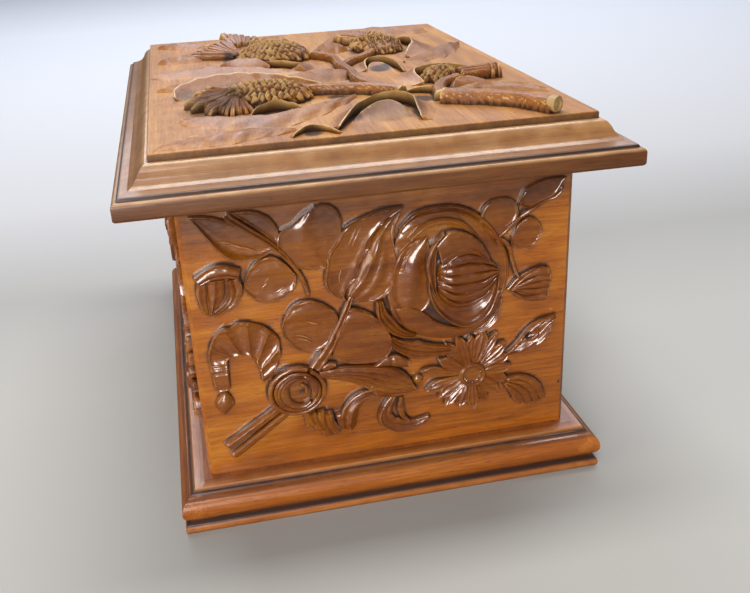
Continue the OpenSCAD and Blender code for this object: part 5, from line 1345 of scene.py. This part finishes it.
def front_board():
    """The long carved front, let into the two ends."""
    length = BODY_L - 2 * (BOARD - REBATE)
    board = Carving("carved_front")
    long_drawing(board)
    ground(board, length, BODY_H, [(length, BODY_H, -BOARD), (length, BODY_H, 0)])
    finish_carving(board, upright(-BODY_W / 2, 0, SEAT, -90), "case", "front_board",
                   [CARVED_LONG, RAW])


def lid_panel():
    """The carved panel on the lid, its upper arris eased."""
    board = Carving("carved_lid_panel")
    lid_drawing(board)
    ground(board, PANEL_W, PANEL_L,
           [(PANEL_W, PANEL_L, -PANEL), (PANEL_W, PANEL_L, -0.5), (PANEL_W - 0.5, PANEL_L - 0.5, 0)],
           y0=-PANEL_L / 2)
    # Its sides and eased arris darkened with old polish and painted shade, its crests lit gold with painted
    # highlight.
    finish_carving(board, Matrix.Scale(MM, 4) @ Matrix.Translation((0, 0, lid_high[2] + PANEL)),
                   "lid", "lid_carved_panel", [LID_WOOD], under=0.7, crest_rubbing_and_highlight=0.42)


end_near()
end_far()
front_board()
lid_panel()
plinth_mouldings()
lid_board()


# Floor, lamps and camera

def floor():
    """A pale matt floor, its colour painted greyer towards the camera and paler and bluer into the distance,
    where the backdrop is lit, and darker where polish mirrors it.
    """
    bpy.ops.mesh.primitive_plane_add(size=14, location=(0, 4, 0))
    plane = bpy.context.object
    plane.name = "floor"
    material, tree = new_material("pale_floor")
    where = add(tree, "TexCoord", output="Object")
    depth = add(tree, "MapRange", {0: add(tree, "SeparateXYZ", {0: where}, output="Y"), 1: -4.0, 2: -2.4})
    tones = add(tree, "ValToRGB", {0: depth})
    ramp = tones.node.color_ramp
    # Painted light: the floor grows paler and bluer away from the camera, as a lit backdrop.
    ramp.elements[0].color = rgb("AEAEAA")
    ramp.elements[1].color = rgb("F0F6FF")
    ramp.elements.new(0.1).color = rgb("A2A2A0")
    ramp.elements.new(0.24).color = rgb("BEBFC2")
    mirrored = add(tree, "LightPath", output="Is Glossy Ray")
    colour = add(tree, "Mix", {0: mirrored, 6: tones, 7: rgb("5C5A58")}, **COLOURS)
    add(tree, "OutputMaterial", {"Surface": add(tree, "BsdfDiffuse", {"Color": colour})})
    plane.data.materials.append(material)


def lamp(name, spot, aim, size, power, colour):
    """A soft rectangular lamp at a spot, turned to what it lights."""
    data = bpy.data.lights.new(name, "AREA")
    data.shape = "RECTANGLE"
    data.size, data.size_y = size
    data.energy = power
    data.color = rgb(colour)[:3]
    light = bpy.data.objects.new(name, data)
    light.location = spot
    light.rotation_euler = (Vector(aim) - Vector(spot)).to_track_quat("-Z", "Y").to_euler()
    bpy.context.collection.objects.link(light)


def world():
    """The pale room behind, weaker as a light than it looks."""
    made = bpy.data.worlds.new("pale_room")
    bpy.context.scene.world = made
    made.use_nodes = True
    tree = made.node_tree
    tree.nodes.clear()
    seen = add(tree, "LightPath", output="Is Camera Ray")
    mirrored = add(tree, "LightPath", output="Is Glossy Ray")
    strength = add(tree, "MapRange", {0: seen, 3: 0.18, 4: 0.9})
    strength = add(tree, "MapRange", {0: mirrored, 3: strength, 4: 0.14})
    back = add(tree, "Background", {"Color": rgb("F0F2FA"), "Strength": strength})
    add(tree, "OutputWorld", {"Surface": back})


def camera():
    """Where the photograph was taken from: above and to the left of the near end, turned a little."""
    data = bpy.data.cameras.new("camera")
    data.lens = FOCAL_LENGTH / PHOTO_W * data.sensor_width
    eye = bpy.data.objects.new("camera", data)
    turn = Matrix.Identity(4)
    for angle, axis in zip(CAMERA_TURNS, "ZXZ"):
        turn = turn @ Matrix.Rotation(angle, 4, axis)
    eye.matrix_world = Matrix.Translation(Vector(CAMERA_AT) * MM) @ turn
    bpy.context.collection.objects.link(eye)
    bpy.context.scene.camera = eye


def cad_finishes():
    """The finishes of the pieces that keep their CAD shape. Hinges and the screws in them are of brass."""
    for name, node in frame["nodes"].items():
        if name in ("back_board", "bottom_board"):
            look = BACK
        elif name.startswith(("glue_block", "lid_batten")):
            look = RAW
        elif name.endswith("pin") or name in ("bottom_screws", "batten_screws"):
            look = STEEL
        else:
            look = BRASS
        node.data.materials.clear()
        node.data.materials.append(look)


cad_finishes()
floor()
lamp("window_left", (-0.46, -1.34, 0.28), (0, -0.1, 0.1), (0.5, 0.75), 16, "FFF8F4")
lamp("window_high", (-0.3, -0.95, 1.3), (0, -0.13, 0.1), (0.4, 0.3), 4, "FAFAFF")
lamp("window_side", (-1.5, -0.5, 0.5), (-0.05, -0.1, 0.1), (0.7, 0.7), 6, "FFF2E0")
lamp("window_above", (0.15, 0.16, 1.7), (0.15, -0.06, 0.1), (1.3, 0.36), 22, "FFFCF8")
lamp("window_behind", (0.6, 1.9, 1.7), (0, 0, 0.1), (3.0, 1.4), 30, "F4F6FF")
lamp("skylight", (-0.2, 0.95, 1.25), (0, 0, 0.1), (0.8, 0.5), 6, "F2F6FF")
world()
camera()
bpy.context.scene.view_settings.view_transform = "Standard"
